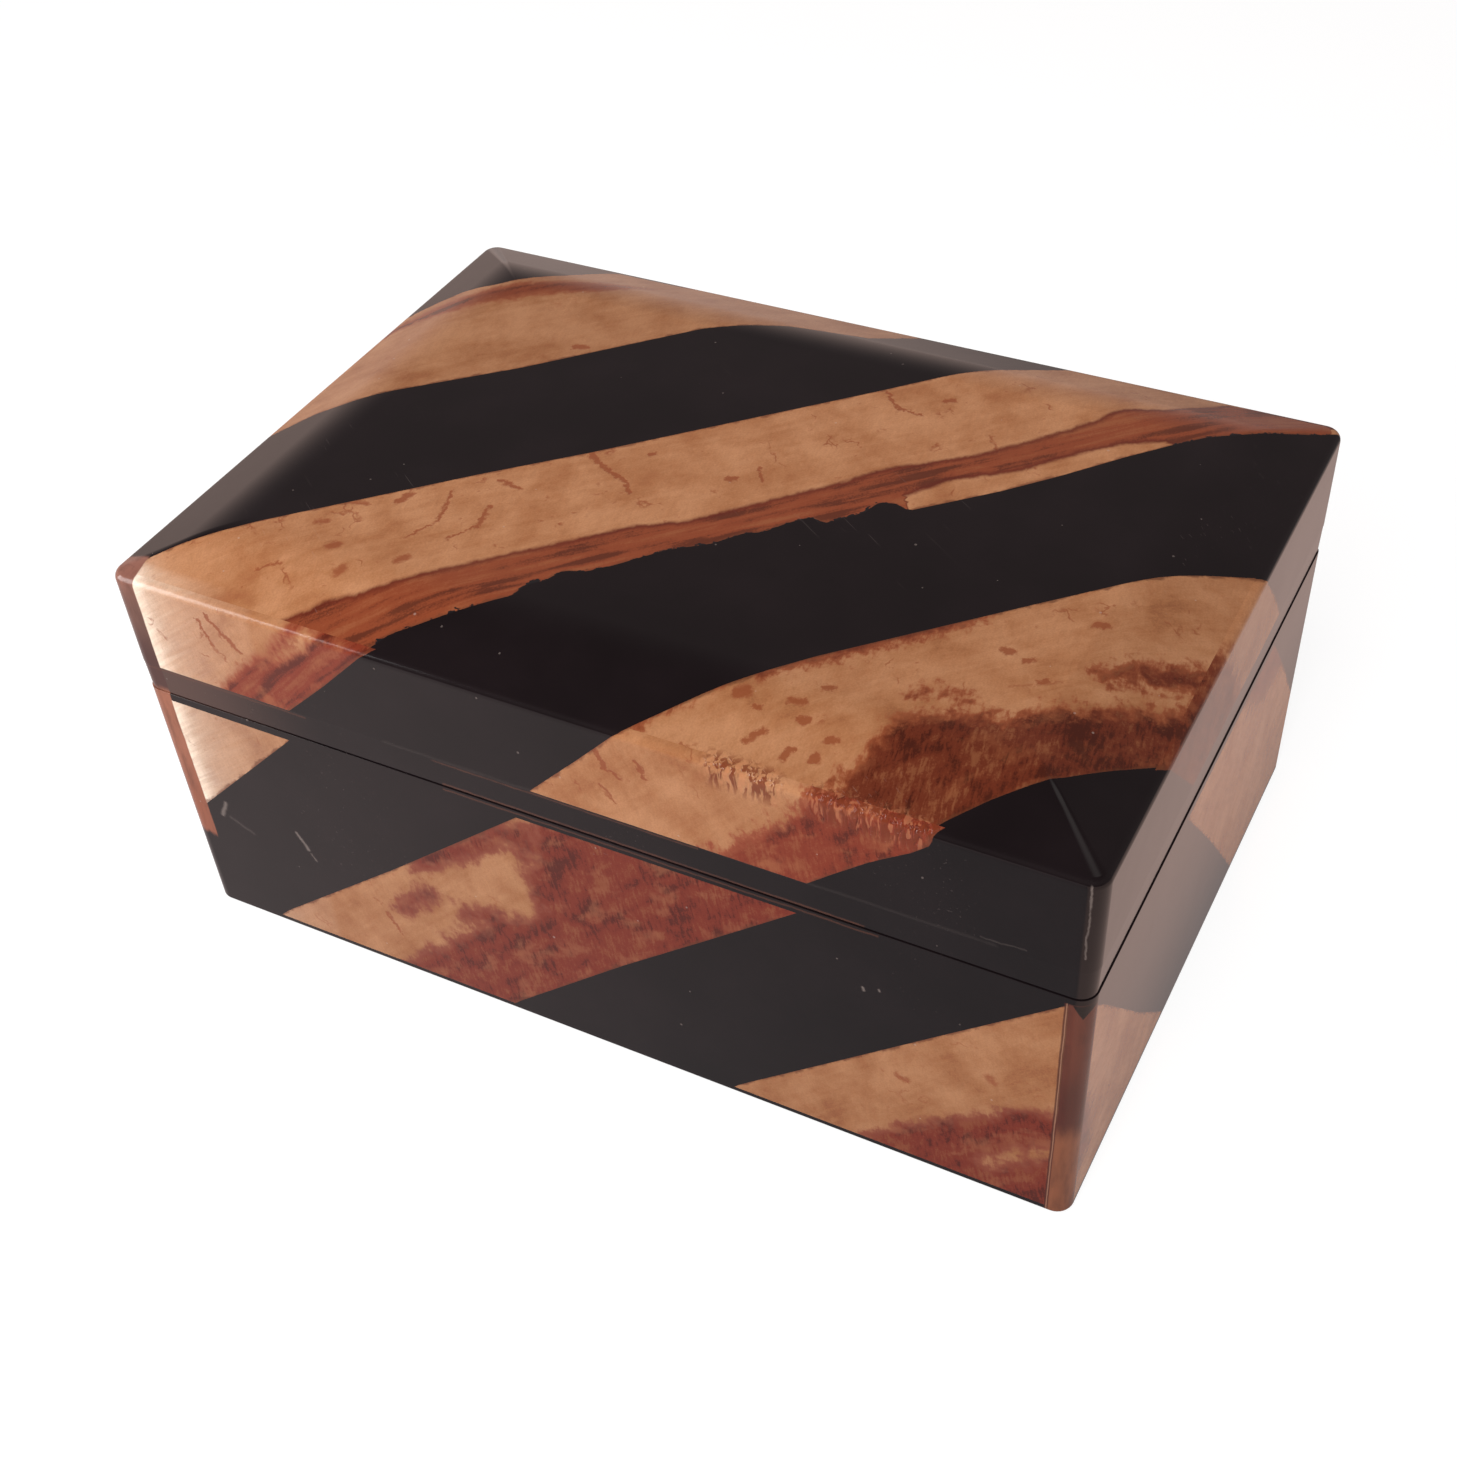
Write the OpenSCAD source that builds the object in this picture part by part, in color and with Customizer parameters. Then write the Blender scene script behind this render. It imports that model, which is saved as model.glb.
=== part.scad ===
// Keepsake box with a hinged, pillow-topped lid: timber boards under a black lacquer skin
// inlaid with diagonal horn-coloured veneer strips. Origin at the middle of the underside.

/* [Box] */
// Length, left to right
box_l = 150; // [110:1:240]
// Depth, front to back
box_w = 103; // [80:1:110]
// Height of the seam between base and lid
seam_h = 46.8; // [30:0.1:90]
// Height of the lid's outer top edge above the seam
lid_side_h = 20.8; // [16:0.1:50]
// Radius of the upright corners
corner_r = 2.6; // [2:0.1:7]

/* [Pillow top] */
// Rise of the flat middle over the outer top edge
crown_rise = 4; // [1:0.1:7]
// Width of the sloping border
crown_border = 12; // [6:0.5:20]
// Radius of the soft crease inside the border
crease_r = 25; // [5:1:60]
// Radius of the top outer edge
edge_r = 1.4; // [0.9:0.1:3]

/* [Boards] */
// Thickness of the side boards
board_t = 7; // [5:0.5:10]
// Thickness of the floor board
floor_t = 6; // [3:0.5:10]
// Thickness of the lid's panel at its middle
panel_t = 7; // [5:0.5:9]
// Thickness of the lacquer and veneer skin
skin_t = 0.8; // [0.6:0.05:0.9]
// Depth of the veneer strips in the skin
veneer_t = 0.5; // [0.3:0.05:0.55]

/* [Seam] */
// Height of the plain black band on the lid's lower edge
band_h = 4.9; // [3:0.1:10]
// How far the band's upper edge is set back
band_setback = 0.25; // [0.1:0.05:0.3]
// How much further the band leans in towards the seam
band_lean = 0.2; // [0:0.05:0.2]
// Gap that each skin leaves beside the seam
seam_gap = 0.3; // [0.1:0.1:0.6]
// Black line left round the base's veneer strips
edge_line = 1.1; // [0.4:0.1:2]

/* [Lining and felt] */
// Thickness of the velvet lining
lining_t = 1; // [0.5:0.1:2]
// Distance of the lining's edge from the seam
lining_drop = 1.2; // [0.5:0.1:3]
// Thickness of the felt under the base
felt_t = 0.8; // [0.5:0.1:2]
// Distance of the felt's edge from the outside
felt_inset = 1.6; // [0.5:0.1:4]

/* [Hinges] */
// Distance from the box's end to the middle of a hinge
hinge_from_end = 36; // [24:1:48]
// Length of a hinge
hinge_l = 22; // [16:1:30]
// Radius of the hinge barrel
barrel_r = 1.5; // [1.2:0.1:2]
// Radius of the hinge pin
pin_r = 0.6; // [0.4:0.05:0.8]
// Thickness of a hinge leaf
leaf_t = 0.8; // [0.5:0.1:1]
// Wood left in front of a leaf
leaf_land = 1; // [0.5:0.1:1.5]
// Radius of a screw's shank
screw_r = 0.55; // [0.4:0.05:0.8]
// Radius of a screw's head
screw_head_r = 1.15; // [0.9:0.05:1.5]
// Length of a screw
screw_l = 6; // [4:0.5:8]
// Distance of a screw from the leaf's end
screw_from_end = 4; // [2:0.5:6]
// Opening at which the lid leans on the base's back edge
lid_stop = 100; // [90:1:110]

/* [Hidden] */
$fn = 48;

// Colours
BLACK = "#262122";
HORN = "#b07c58";
TIMBER = "#a9865f";
BRASS = "#c39a4a";
VELVET = "#4a2320";
FELT = "#1c1a1a";

// Fits and overruns
over = 1;
pin_fit = 0.03;
knuckle_gap = 0.15;
leaf_gap = 0.1;
leaf_fit = 0.1;
barrel_room = 0.3;
screw_fit = 0.02;
stop_room = 2;
screw_head_h = 0.5;
arc_steps = 6;

// Heights
edge_h = seam_h + lid_side_h;
top_h = edge_h + crown_rise;
panel_z = top_h - skin_t - panel_t;
band_top = seam_h + band_h;
skin_top = seam_h - seam_gap;
floor_top = felt_t + floor_t;

// Inside of the boards
inner_l = box_l - 2 * (board_t + skin_t);
inner_w = box_w - 2 * (board_t + skin_t);

// Hinge axis, flush with the back face
axis_y = box_w / 2 - barrel_r;
hinge_x = box_l / 2 - hinge_from_end;
leaf_w = board_t + skin_t - barrel_r - leaf_land;
knuckle_l = hinge_l / 3;
chamfer_angle = lid_stop / 2 + stop_room;

// The horn strips run over the edges as if the skin were folded from one flat sheet. Each row
// is one strip, with its two edges given by where they pass the lid's corners: -2 is the back
// left corner, -1 the front left, 1 the back right and 2 the front right one. Between -1 and 1
// the length alone sets the place, so the middle strip keeps its width on a deeper box.
lid_strip_shares = [[-2.41, -2.04], [-1.67, -1.34], [-0.89, 0.87], [1.36, 1.78]];
base_strip_shares = [[-2.41, -2.04], [-1.63, -1.3], [-0.72, 1.01], [1.4, 1.82], [2.19, 2.86]];
TOP_STRIPS = [1, 2, 3];
middle_share = 0.157;

// A strip is carried on to a side where it would cover at least this much of it
least_cover = 8;

// Run of a strip along a side of the base, as a share of its drop. It is 1 on the lid.
long_side_run = 1.18;
short_side_run = 0.84;

// Angle of the sloping border, and the height of the top edge's arc centre
crown_angle = atan(crown_rise / crown_border);
edge_arc_z = top_h - (edge_r + (crown_border - edge_r) * sin(crown_angle)) / cos(crown_angle);
crease_x = crown_border + crease_r * tan(crown_angle / 2);

// Plan outlines

module outline(inset = 0) {
    l = box_l - 2 * inset;
    w = box_w - 2 * inset;
    r = corner_r - inset;
    square([l - 2 * r, w], center = true);
    square([l, w - 2 * r], center = true);
    for (x = [-1, 1], y = [-1, 1]) translate([x * (l / 2 - r), y * (w / 2 - r)]) circle(r);
}

module inside(inset = 0) {
    square([inner_l - 2 * inset, inner_w - 2 * inset], center = true);
}

module slice(z0, z1) {
    translate([0, 0, z0]) linear_extrude(z1 - z0) children();
}

// The part of the plan that belongs to one side, up to the mitres
function side_plan(side) =
    let (x = box_l / 2 + over, y = box_w / 2 + over, ridge = (box_l - box_w) / 2)
    side == "front" ? [[-x, -y], [x, -y], [ridge, 0], [-ridge, 0]] :
    side == "back" ? [[x, y], [-x, y], [-ridge, 0], [ridge, 0]] :
    side == "right" ? [[x, -y], [x, y], [ridge, 0]] :
    [[-x, y], [-x, -y], [-ridge, 0]];

module wedge(side, z0, z1) {
    slice(z0, z1) polygon(side_plan(side));
}

// Pillow top: two profiles that cross, with mitred hips between them

function crown_half(half, inset) = concat(
    [for (i = [0:arc_steps]) let (a = crown_angle * i / arc_steps)
        [half - crease_x + (crease_r - inset) * sin(a), top_h - crease_r + (crease_r - inset) * cos(a)]],
    [for (i = [0:arc_steps]) let (a = crown_angle + (90 - crown_angle) * i / arc_steps)
        [half - edge_r + (edge_r - inset) * sin(a), edge_arc_z + (edge_r - inset) * cos(a)]]
);

module crown_profile(half, inset) {
    right = crown_half(half, inset);
    last = len(right) - 1;
    left = [for (i = [last:-1:0]) [-right[i][0], right[i][1]]];
    polygon(concat(right, [[half - inset, 0], [inset - half, 0]], left));
}

module crown(inset, z0) {
    intersection() {
        slice(z0, top_h + over) outline(inset);
        rotate([90, 0, 0])
            linear_extrude(box_w + 2 * over, center = true) crown_profile(box_l / 2, inset);
        rotate([90, 0, 90])
            linear_extrude(box_l + 2 * over, center = true) crown_profile(box_w / 2, inset);
    }
}

// Strips. The fold number of a point is its x minus its y on the unfolded skin.

function fold_number(share) =
    abs(share) <= 1 ? share * middle_share * box_l :
    sign(share) * ((box_l - box_w) / 2 + (abs(share) - 1) * box_w);

// How far a strip has moved along a side between the lid's top edge and height z
function strip_run(side, z) =
    z >= seam_h ? edge_h - z :
    lid_side_h + (seam_h - z) * (side == "front" || side == "back" ? long_side_run : short_side_run);

// Place along a side of the line with fold number c, at height z
function fold_place(side, c, z) =
    side == "front" ? c - box_w / 2 - strip_run(side, z) :
    side == "back" ? c + box_w / 2 + strip_run(side, z) :
    side == "right" ? box_l / 2 + strip_run(side, z) - c :
    -box_l / 2 - strip_run(side, z) - c;

// Lowest and highest fold number on a side between two heights
function fold_range(side, z0, z1) =
    let (near = (box_l - box_w) / 2, far = (box_l + box_w) / 2,
         low = strip_run(side, z1), high = strip_run(side, z0))
    side == "front" ? [low - near, far + high] :
    side == "right" ? [low + near, far + high] :
    side == "back" ? [-far - high, near - low] :
    [-far - high, -near - low];

module strip_slab(side, c, z0, z1) {
    drawing = [[fold_place(side, c[0], z0), z0], [fold_place(side, c[1], z0), z0],
               [fold_place(side, c[1], z1), z1], [fold_place(side, c[0], z1), z1]];
    if (side == "front" || side == "back")
        translate([0, side == "back" ? box_w : 0, 0])
            rotate([90, 0, 0]) linear_extrude(box_w) polygon(drawing);
    else
        translate([side == "left" ? -box_l : 0, 0, 0])
            rotate([90, 0, 90]) linear_extrude(box_l) polygon(drawing);
}

module side_strips(side, shares, z0, z1) {
    range = fold_range(side, z0, min(z1, edge_h));
    intersection() {
        wedge(side, z0, z1);
        union() for (row = shares) {
            c = [fold_number(row[0]), fold_number(row[1])];
            if (c[1] > range[0] + least_cover && c[0] < range[1] - least_cover)
                strip_slab(side, c, z0, z1);
        }
    }
}

module top_strip(k) {
    c = [fold_number(lid_strip_shares[k][0]), fold_number(lid_strip_shares[k][1])];
    y = box_w / 2 + over;
    intersection() {
        slice(edge_arc_z, top_h + over) outline(edge_r);
        slice(0, top_h + over) polygon([[c[0] - y, -y], [c[1] - y, -y], [c[1] + y, y], [c[0] + y, y]]);
    }
}

// Hinge parts, drawn about the hinge axis with the lid shut. Half is 1 for the lid's side
// of the seam and -1 for the base's.

module at_hinge(x) {
    translate([x, axis_y, seam_h]) children();
}

module along_x(l, r) {
    rotate([0, 90, 0]) cylinder(h = l, r = r, center = true);
}

module knuckles(half, r, gap) {
    if (half > 0) along_x(knuckle_l + gap, r);
    else for (s = [-1, 1]) translate([s * knuckle_l, 0, 0]) along_x(knuckle_l + gap, r);
}

module at_screws() {
    for (s = [-1, 1])
        translate([s * (hinge_l / 2 - screw_from_end), -(leaf_w + barrel_r) / 2, 0]) children();
}

module screw_shape(half, fit) {
    scale([1, 1, half]) translate([0, 0, leaf_gap / 2]) {
        cylinder(h = screw_l, r = screw_r + fit);
        cylinder(h = screw_head_h, r = screw_head_r + fit);
    }
}

module leaf(half) {
    difference() {
        union() {
            difference() {
                scale([1, 1, half]) translate([-hinge_l / 2, -leaf_w, leaf_gap / 2])
                    cube([hinge_l, leaf_w, leaf_t]);
                knuckles(-half, barrel_r + knuckle_gap, knuckle_gap);
            }
            knuckles(half, barrel_r, -knuckle_gap);
        }
        along_x(hinge_l + over, pin_r + pin_fit);
        at_screws() screw_shape(half, screw_fit);
    }
}

// What the hinges take out of the wood and the skins beside the seam
module hinge_room(half) {
    for (s = [-1, 1]) at_hinge(s * hinge_x) {
        along_x(hinge_l + 2 * leaf_fit, barrel_r + barrel_room);
        scale([1, 1, half]) translate([-hinge_l / 2 - leaf_fit, -leaf_w - leaf_fit, -over])
            cube([hinge_l + 2 * leaf_fit, leaf_w + leaf_fit, over + leaf_gap / 2 + leaf_t]);
        at_screws() screw_shape(half, screw_fit);
    }
}

// The chamfer along the back edge, which lets the lid lean back and then stops it
module back_chamfer(half) {
    reach = barrel_r + over;
    translate([0, axis_y, seam_h]) scale([1, 1, half]) rotate([90, 0, 90])
        linear_extrude(box_l + 2 * over, center = true)
            polygon([[0, 0], [0, -over], [reach, -over], [reach, reach * tan(chamfer_angle)]]);
}

module seam_cuts(half) {
    back_chamfer(half);
    hinge_room(half);
}

// Boards

module side_board(side, z0, z1) {
    intersection() {
        wedge(side, z0, z1);
        difference() {
            slice(z0, z1) outline(skin_t);
            slice(z0 - over, z1 + over) inside();
        }
    }
}

module base_board(side) {
    color(TIMBER) difference() {
        side_board(side, felt_t, seam_h);
        seam_cuts(-1);
    }
}

module lid_rail(side) {
    color(TIMBER) difference() {
        side_board(side, seam_h, panel_z);
        seam_cuts(1);
    }
}

module base_floor() {
    color(TIMBER) slice(felt_t, floor_top) inside();
}

module lid_top_panel() {
    color(TIMBER) crown(skin_t, panel_z);
}

// Skin of the base. The veneer strips lie in the outer part of the lacquer's thickness.

SIDES = ["front", "right", "back", "left"];

module base_layer(t) {
    difference() {
        slice(felt_t, skin_top) outline();
        slice(0, seam_h) outline(t);
        seam_cuts(-1);
    }
}

module base_side_area(side) {
    side_strips(side, base_strip_shares, felt_t + edge_line, skin_top - edge_line);
}

module base_lacquer() {
    color(BLACK) difference() {
        base_layer(skin_t);
        intersection() {
            base_layer(veneer_t);
            union() for (side = SIDES) base_side_area(side);
        }
    }
}

module base_veneer(side) {
    color(HORN) intersection() {
        base_layer(veneer_t);
        base_side_area(side);
    }
}

// Skin of the lid, down to the band

module lid_layer(t) {
    difference() {
        crown(0, band_top);
        crown(t, seam_h);
    }
}

module lid_side_area(side) {
    difference() {
        side_strips(side, lid_strip_shares, band_top, top_h);
        slice(edge_arc_z, top_h + over) outline(edge_r);
    }
}

module lid_lacquer() {
    color(BLACK) difference() {
        lid_layer(skin_t);
        intersection() {
            lid_layer(veneer_t);
            union() {
                for (k = TOP_STRIPS) top_strip(k);
                for (side = SIDES) lid_side_area(side);
            }
        }
    }
}

module lid_strip(k) {
    color(HORN) intersection() {
        lid_layer(veneer_t);
        top_strip(k);
    }
}

module lid_veneer(side) {
    color(HORN) intersection() {
        lid_layer(veneer_t);
        lid_side_area(side);
    }
}

module band_profile(half) {
    upper = half - band_setback;
    lower = upper - band_lean;
    z0 = seam_h + seam_gap;
    polygon([[-lower, z0], [lower, z0], [upper, band_top], [-upper, band_top]]);
}

module lid_band() {
    color(BLACK) difference() {
        intersection() {
            slice(seam_h, band_top) outline(band_setback);
            rotate([90, 0, 0]) linear_extrude(box_w, center = true) band_profile(box_l / 2);
            rotate([90, 0, 90]) linear_extrude(box_l, center = true) band_profile(box_w / 2);
        }
        slice(seam_h, band_top + over) outline(skin_t);
        seam_cuts(1);
    }
}

// Lining and felt

module lining_ring(z0, z1) {
    color(VELVET) difference() {
        slice(z0, z1) inside();
        slice(z0 - over, z1 + over) inside(lining_t);
    }
}

module base_felt() {
    color(FELT) slice(0, felt_t) outline(felt_inset);
}

module base_floor_lining() {
    color(VELVET) slice(floor_top, floor_top + lining_t) inside();
}

module base_wall_lining() {
    lining_ring(floor_top + lining_t, seam_h - lining_drop);
}

module lid_top_lining() {
    color(VELVET) slice(panel_z - lining_t, panel_z) inside();
}

module lid_wall_lining() {
    lining_ring(seam_h + lining_drop, panel_z - lining_t);
}

// Hinges

module base_leaf(s) {
    color(BRASS) at_hinge(s * hinge_x) leaf(-1);
}

module lid_leaf(s) {
    color(BRASS) at_hinge(s * hinge_x) leaf(1);
}

module hinge_pin(s) {
    color(BRASS) at_hinge(s * hinge_x) along_x(hinge_l, pin_r);
}

module hinge_screws(half) {
    color(BRASS) for (s = [-1, 1]) at_hinge(s * hinge_x) at_screws() screw_shape(half, 0);
}

base_board("front");  // base_front_board
base_board("back");  // base_back_board
base_board("left");  // base_left_board
base_board("right");  // base_right_board
base_floor();
base_lacquer();
base_veneer("front");  // base_front_veneer
base_veneer("back");  // base_back_veneer
base_veneer("left");  // base_left_veneer
base_veneer("right");  // base_right_veneer
base_felt();
base_floor_lining();
base_wall_lining();
base_leaf(-1);  // left_hinge_base_leaf
base_leaf(1);  // right_hinge_base_leaf
hinge_pin(-1);  // left_hinge_pin
hinge_pin(1);  // right_hinge_pin
hinge_screws(-1);  // base_hinge_screws
lid_rail("front");  // lid_front_rail
lid_rail("back");  // lid_back_rail
lid_rail("left");  // lid_left_rail
lid_rail("right");  // lid_right_rail
lid_top_panel();
lid_band();
lid_lacquer();
lid_strip(1);  // lid_rear_strip
lid_strip(2);  // lid_middle_strip
lid_strip(3);  // lid_front_strip
lid_veneer("front");  // lid_front_veneer
lid_veneer("back");  // lid_back_veneer
lid_veneer("left");  // lid_left_veneer
lid_veneer("right");  // lid_right_veneer
lid_top_lining();
lid_wall_lining();
lid_leaf(-1);  // left_hinge_lid_leaf
lid_leaf(1);  // right_hinge_lid_leaf
hinge_screws(1);  // lid_hinge_screws
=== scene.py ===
"""Looks of a keepsake box: black lacquer inlaid with horn-coloured strips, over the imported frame."""

import math
from bisect import bisect_right
from functools import reduce

import bmesh
import bpy
import numpy as np
from mathutils import Euler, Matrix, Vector


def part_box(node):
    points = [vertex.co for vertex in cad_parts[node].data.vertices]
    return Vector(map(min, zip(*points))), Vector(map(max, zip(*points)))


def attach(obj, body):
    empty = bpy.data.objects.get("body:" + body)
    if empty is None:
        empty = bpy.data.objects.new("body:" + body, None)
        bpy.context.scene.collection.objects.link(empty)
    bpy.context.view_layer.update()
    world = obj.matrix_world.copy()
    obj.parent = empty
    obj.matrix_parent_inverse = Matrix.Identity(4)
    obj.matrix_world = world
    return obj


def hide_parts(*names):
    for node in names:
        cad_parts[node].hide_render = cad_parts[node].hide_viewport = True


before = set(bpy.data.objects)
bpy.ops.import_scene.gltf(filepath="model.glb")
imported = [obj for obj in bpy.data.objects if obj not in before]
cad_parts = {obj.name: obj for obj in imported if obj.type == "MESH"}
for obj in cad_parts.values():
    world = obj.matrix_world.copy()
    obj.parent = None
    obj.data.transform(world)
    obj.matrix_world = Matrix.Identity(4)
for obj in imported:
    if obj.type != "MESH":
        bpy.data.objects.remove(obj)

bl_info = {
    "name": "Keepsake Box",
    "version": (1, 0, 0),
    "blender": (4, 5, 0),
    "location": "3D View > Sidebar > Keepsake Box",
    "description": "Makes the skins, fittings and stage of an inlaid keepsake box",
    "category": "Object",
}

MM = 0.001


def span(node, axis):
    """Size of a CAD node along an axis, in metres."""
    low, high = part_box(node)
    return high[axis] - low[axis]


def level(node, top):
    """Lowest or highest height of a CAD node, in metres."""
    low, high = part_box(node)
    return (high if top else low)[2]


# What a user can change


class BoxSizes(bpy.types.PropertyGroup):
    """Sizes of the box's skins and fittings"""

    length: bpy.props.FloatProperty(
        name="Length", description="Length of the box, left to right",
        default=span("base_lacquer", 0), min=0.1, max=0.3, unit="LENGTH")
    depth: bpy.props.FloatProperty(
        name="Depth", description="Depth of the box, front to back",
        default=span("base_lacquer", 1), min=0.06, max=0.2, unit="LENGTH")
    top: bpy.props.FloatProperty(
        name="Top", description="Height of the lid's flat middle",
        default=level("lid_lacquer", True), min=0.05, max=0.12, unit="LENGTH")
    band_top: bpy.props.FloatProperty(
        name="Band top", description="Height where the lid's skin ends above its band",
        default=level("lid_lacquer", False), min=0.03, max=0.1, unit="LENGTH")
    skin_top: bpy.props.FloatProperty(
        name="Skin top", description="Upper edge of the base's skin, below the seam",
        default=level("base_lacquer", True), min=0.03, max=0.1, unit="LENGTH")
    skin_foot: bpy.props.FloatProperty(
        name="Skin foot", description="Lower edge of the base's skin, above the felt",
        default=level("base_lacquer", False), min=0.0, max=0.01, unit="LENGTH")
    corner: bpy.props.FloatProperty(
        name="Corner", description="Radius of the upright corners",
        default=2.6 * MM, min=2 * MM, max=6 * MM, unit="LENGTH")
    edge: bpy.props.FloatProperty(
        name="Top edge", description="Radius of the lid's top outer edge",
        default=1.4 * MM, min=1 * MM, max=3 * MM, unit="LENGTH")
    rise: bpy.props.FloatProperty(
        name="Rise", description="Rise of the pillow top over the lid's side",
        default=4 * MM, min=1 * MM, max=7 * MM, unit="LENGTH")
    border: bpy.props.FloatProperty(
        name="Border", description="Width of the lid's sloping border",
        default=12 * MM, min=6 * MM, max=20 * MM, unit="LENGTH")
    crease: bpy.props.FloatProperty(
        name="Crease", description="Radius of the soft crease inside the border",
        default=25 * MM, min=5 * MM, max=60 * MM, unit="LENGTH")
    skin: bpy.props.FloatProperty(
        name="Skin", description="Thickness of the lacquer and of the strips in it",
        default=0.75 * MM, min=0.3 * MM, max=0.78 * MM, unit="LENGTH")
    screw_slot: bpy.props.FloatProperty(
        name="Screw slot", description="Width of the slot in a screw's head",
        default=0.35 * MM, min=0.2 * MM, max=0.6 * MM, unit="LENGTH")


class BoxColours(bpy.types.PropertyGroup):
    """Colours of the box"""

    lacquer: bpy.props.FloatVectorProperty(
        name="Lacquer", description="Black lacquer", subtype="COLOR", size=3,
        default=(0.0062, 0.0038, 0.0044), min=0, max=1)
    horn: bpy.props.FloatVectorProperty(
        name="Horn", description="Tan ground of the strips", subtype="COLOR", size=3,
        default=(0.34, 0.137, 0.056), min=0, max=1)
    horn_pale: bpy.props.FloatVectorProperty(
        name="Pale horn", description="Paler clouds in the strips", subtype="COLOR", size=3,
        default=(0.45, 0.212, 0.102), min=0, max=1)
    stain: bpy.props.FloatVectorProperty(
        name="Stain", description="Red-brown figure in the strips", subtype="COLOR", size=3,
        default=(0.165, 0.028, 0.012), min=0, max=1)
    stain_edge: bpy.props.FloatVectorProperty(
        name="Stain edge", description="Brighter edge of the red-brown figure", subtype="COLOR", size=3,
        default=(0.27, 0.072, 0.028), min=0, max=1)
    velvet: bpy.props.FloatVectorProperty(
        name="Velvet", description="Velvet lining", subtype="COLOR", size=3,
        default=(0.075, 0.018, 0.016), min=0, max=1)
    brass: bpy.props.FloatVectorProperty(
        name="Brass", description="Hinges and screws", subtype="COLOR", size=3,
        default=(0.66, 0.48, 0.23), min=0, max=1)
    timber: bpy.props.FloatVectorProperty(
        name="Timber", description="Bare wood of the boards", subtype="COLOR", size=3,
        default=(0.4, 0.24, 0.12), min=0, max=1)
    felt: bpy.props.FloatVectorProperty(
        name="Felt", description="Felt under the box", subtype="COLOR", size=3,
        default=(0.015, 0.013, 0.013), min=0, max=1)


class BoxStage(bpy.types.PropertyGroup):
    """Camera, lamps and floor"""

    lens: bpy.props.FloatProperty(
        name="Lens", description="Focal length", default=47.8, min=20, max=120, unit="CAMERA")
    shift: bpy.props.FloatProperty(
        name="Shift", description="Upward shift of the view", default=120 / 1457, min=0, max=0.2)
    place: bpy.props.FloatVectorProperty(
        name="Place", description="Where the camera stands", subtype="TRANSLATION", size=3,
        default=(0.1152013, -0.2036043, 0.2319714), unit="LENGTH")
    turn: bpy.props.FloatVectorProperty(
        name="Turn", description="How the camera is turned", subtype="EULER", size=3,
        default=(math.radians(44.657), math.radians(3.1795), math.radians(27.5007)))
    key: bpy.props.FloatProperty(
        name="Key lamp", description="Power of the low lamp at the front left",
        default=1.9, min=0, unit="POWER")
    fill: bpy.props.FloatProperty(
        name="Fill lamp", description="Power of the high lamp at the front right",
        default=26.5, min=0, unit="POWER")
    sky: bpy.props.FloatVectorProperty(
        name="Room", description="Colour of the room round and over the box", subtype="COLOR", size=3,
        default=(0.225, 0.19, 0.188), min=0, max=1)
    window: bpy.props.FloatVectorProperty(
        name="Window", description="Colour of the lighter side of the room, low at the back left",
        subtype="COLOR", size=3, default=(0.75, 0.56, 0.5), min=0, max=1)
    table: bpy.props.FloatVectorProperty(
        name="Table", description="Colour that the floor at the right shows in the gloss",
        subtype="COLOR", size=3, default=(0.56, 0.375, 0.32), min=0, max=1)


# Node trees


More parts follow.
